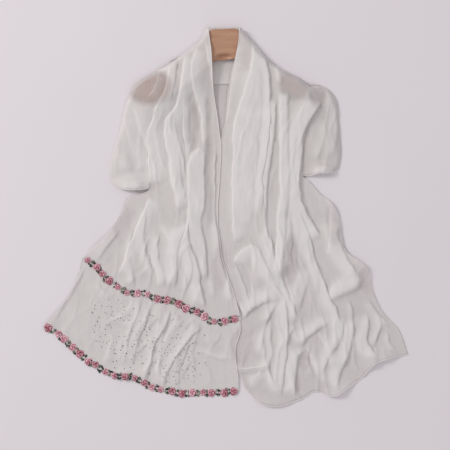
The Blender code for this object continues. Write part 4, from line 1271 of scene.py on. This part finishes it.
def bud_mesh(place, axes, radius, tint, heart):
    """A small stitched ring with a paler middle."""
    angle, out = np.meshgrid(np.linspace(0, 2 * np.pi, 12, endpoint=False), np.linspace(0.1, 1, 5))
    height = 1.3 * np.sin(np.pi * np.clip(out, 0.15, 1)) ** 0.7
    x, y = radius * out * np.cos(angle), radius * out * np.sin(angle)
    shade = heart + smooth_step(out, 0.25, 0.5)[..., None] * (tint - heart)
    points = stitched(place, axes, x, y, height)
    return points, grid_quads(*angle.shape, closed=True), shade.reshape(-1, 3)


class HIJAB_OT_trims(bpy.types.Operator):
    """Embroiders the two bands of roses and leaves onto the cloth"""

    bl_idname = "hijab.trims"
    bl_label = "Rose trims"

    def execute(self, context):
        sizes = settings()
        front, end = (GRIDS[name][..., :3] for name in ("left_front", "left_end"))
        hem = (end[-2] + end[-1]) / 2
        bands = [
            ("upper", front[-3], end[2], end[0] + [0, 0, TRIM_LIFT]),
            ("lower", end[-4], end[-1], hem + [0, 0, 0.5 * TRIM_LIFT]),
        ]
        draw = np.random.default_rng(SEED)
        roses = [np.array(linear(c)) for c in (sizes.rose_deep_and_shade, sizes.rose_mid, sizes.rose_light_and_highlight)]
        dark, pale = (np.array(linear(c)) for c in (sizes.leaf_dark, sizes.leaf_light))
        material = thread_material()
        for name, above, below, line in bands:
            frames = trim_frame(above, below, line, sizes.rose_pitch)
            pitch = length_along(line)[-1] / len(frames[0])
            kinds = {"roses": [], "leaves": []}
            for number, (place, *axes) in enumerate(zip(*frames)):
                run, down, _ = axes
                radius = sizes.rose_size * draw.uniform(*ROSE_SCALE)
                off_down, off_along = ROSE_OFF
                nudge = down * draw.uniform(-off_down, off_down)
                nudge = nudge + run * draw.uniform(-off_along, off_along)
                turn, tone = draw.uniform(0, 6.3), draw.uniform(*ROSE_TONE)
                kinds["roses"].append(rose_mesh(place + nudge, axes, radius, turn, tone, roses))
                if number < len(frames[0]) - 1:
                    middle = place + run * pitch / 2
                    kinds["leaves"] += foliage(draw, middle, axes, dark, pale, roses[2])
            for kind, parts in kinds.items():
                points, faces = joined([part[:2] for part in parts])
                points[:, 2] = np.maximum(points[:, 2], LOWEST)
                tints = np.clip(np.vstack([part[2] for part in parts]), 0, 1)
                tints = np.column_stack([tints, np.ones(len(tints))])
                replaced = (f"{name}_rose_trim",) if kind == "roses" else ()
                new_object(f"{name}_trim_{kind}", to_world(points), faces, material,
                           tints=tints, replaces=replaced)
        return {"FINISHED"}


def foliage(draw, middle, axes, dark, pale, light):
    """The leaves and buds between two roses."""
    run, down, _ = axes
    parts = []
    for side, lean, along in LEAVES:
        leaf = dark if draw.uniform() < DARK_LEAVES else pale
        start = middle + run * (along + draw.uniform(-2, 2))
        start = start + down * side * draw.uniform(-0.4, 2.6)
        turn = side * lean * draw.uniform(*LEAF_LEAN)
        if along > 0:
            turn = np.pi - side * lean * draw.uniform(*LEAF_LEAN)
        length, width = draw.uniform(*LEAF_LENGTH), draw.uniform(*LEAF_WIDTH)
        parts.append(leaf_mesh(start, axes, length, width, turn, leaf * draw.uniform(*LEAF_TONE)))
    for side in (-1, 1):
        if draw.uniform() < BUDS:
            spot = middle + run * draw.uniform(-4, 4) + down * side * draw.uniform(4.5, 7.5)
            heart = pale * 1.8 if draw.uniform() < 0.5 else light
            parts.append(bud_mesh(spot, axes, draw.uniform(*BUD_RADIUS), dark, heart))
    return parts


class HIJAB_OT_beads(bpy.types.Operator):
    """Scatters sprays of small beads and sequins over the end panel"""

    bl_idname = "hijab.beads"
    bl_label = "Beads"

    def execute(self, context):
        end = GRIDS["left_end"][..., :3]
        draw = np.random.default_rng(SEED + 3)
        down, across = np.linspace(0.05, 0.95, BEAD_ROWS), np.linspace(0.04, 0.96, BEAD_COLUMNS)
        spots = np.stack(np.meshgrid(down, across), axis=-1).reshape(-1, 2)
        spots += draw.uniform(-0.4, 0.4, spots.shape) / (BEAD_ROWS, BEAD_COLUMNS)
        row, column = (spots * (end.shape[0] - 1, end.shape[1] - 1)).round().astype(int).T
        places = end[row, column]
        off = np.min([reach_share(places[:, :2], spray) for spray in SPRAYS], axis=0)
        turn, out = np.meshgrid(np.linspace(0, 2 * np.pi, 6, endpoint=False), [0.0, 0.62, 1.0])
        faces = [f[::-1] for f in grid_quads(*turn.shape, closed=True)]
        kinds = {kind: [] for kind in BEAD_LOOKS}
        for place, share in zip(places, off):
            if draw.uniform() > SPRAY_END - share**2:
                continue
            size = settings().bead_size * draw.uniform(*BEAD_SCALE)
            x, y = size * out * np.cos(turn), size * out * np.sin(turn)
            height = 0.5 + size * 0.9 * np.sqrt(1.001 - out**2)
            points = (place + np.stack([x, y, height], axis=-1)).reshape(-1, 3)
            kinds["dark" if draw.uniform() < DARK_BEADS else "pale"].append((points, faces))
        for kind, parts in kinds.items():
            points, faces = joined(parts)
            material = bead_material(f"{kind}_bead", *BEAD_LOOKS[kind])
            new_object(f"{kind}_beads", to_world(points), faces, material)
        return {"FINISHED"}


class HIJAB_PT_panel(bpy.types.Panel):
    """The pieces of the hijab, in the order in which they are made"""

    bl_idname = "HIJAB_PT_panel"
    bl_label = "Chiffon hijab"
    bl_space_type = "VIEW_3D"
    bl_region_type = "UI"
    bl_category = "Hijab"

    def draw(self, context):
        for name in HijabSettings.__annotations__:
            self.layout.prop(context.scene.hijab, name)
        for operator in OPERATORS:
            self.layout.operator(operator.bl_idname)


OPERATORS = (
    HIJAB_OT_stage, HIJAB_OT_hanger, HIJAB_OT_back, HIJAB_OT_cloth, HIJAB_OT_hems,
    HIJAB_OT_trims, HIJAB_OT_beads,
)


def register():
    for made in (HijabSettings, *OPERATORS, HIJAB_PT_panel):
        bpy.utils.register_class(made)
    bpy.types.Scene.hijab = bpy.props.PointerProperty(type=HijabSettings)


def unregister():
    del bpy.types.Scene.hijab
    for made in reversed((HijabSettings, *OPERATORS, HIJAB_PT_panel)):
        bpy.utils.unregister_class(made)


def main():
    register()
    for operator in OPERATORS:
        getattr(bpy.ops.hijab, operator.bl_idname.split(".")[1])()


if __name__ == "__main__":
    main()
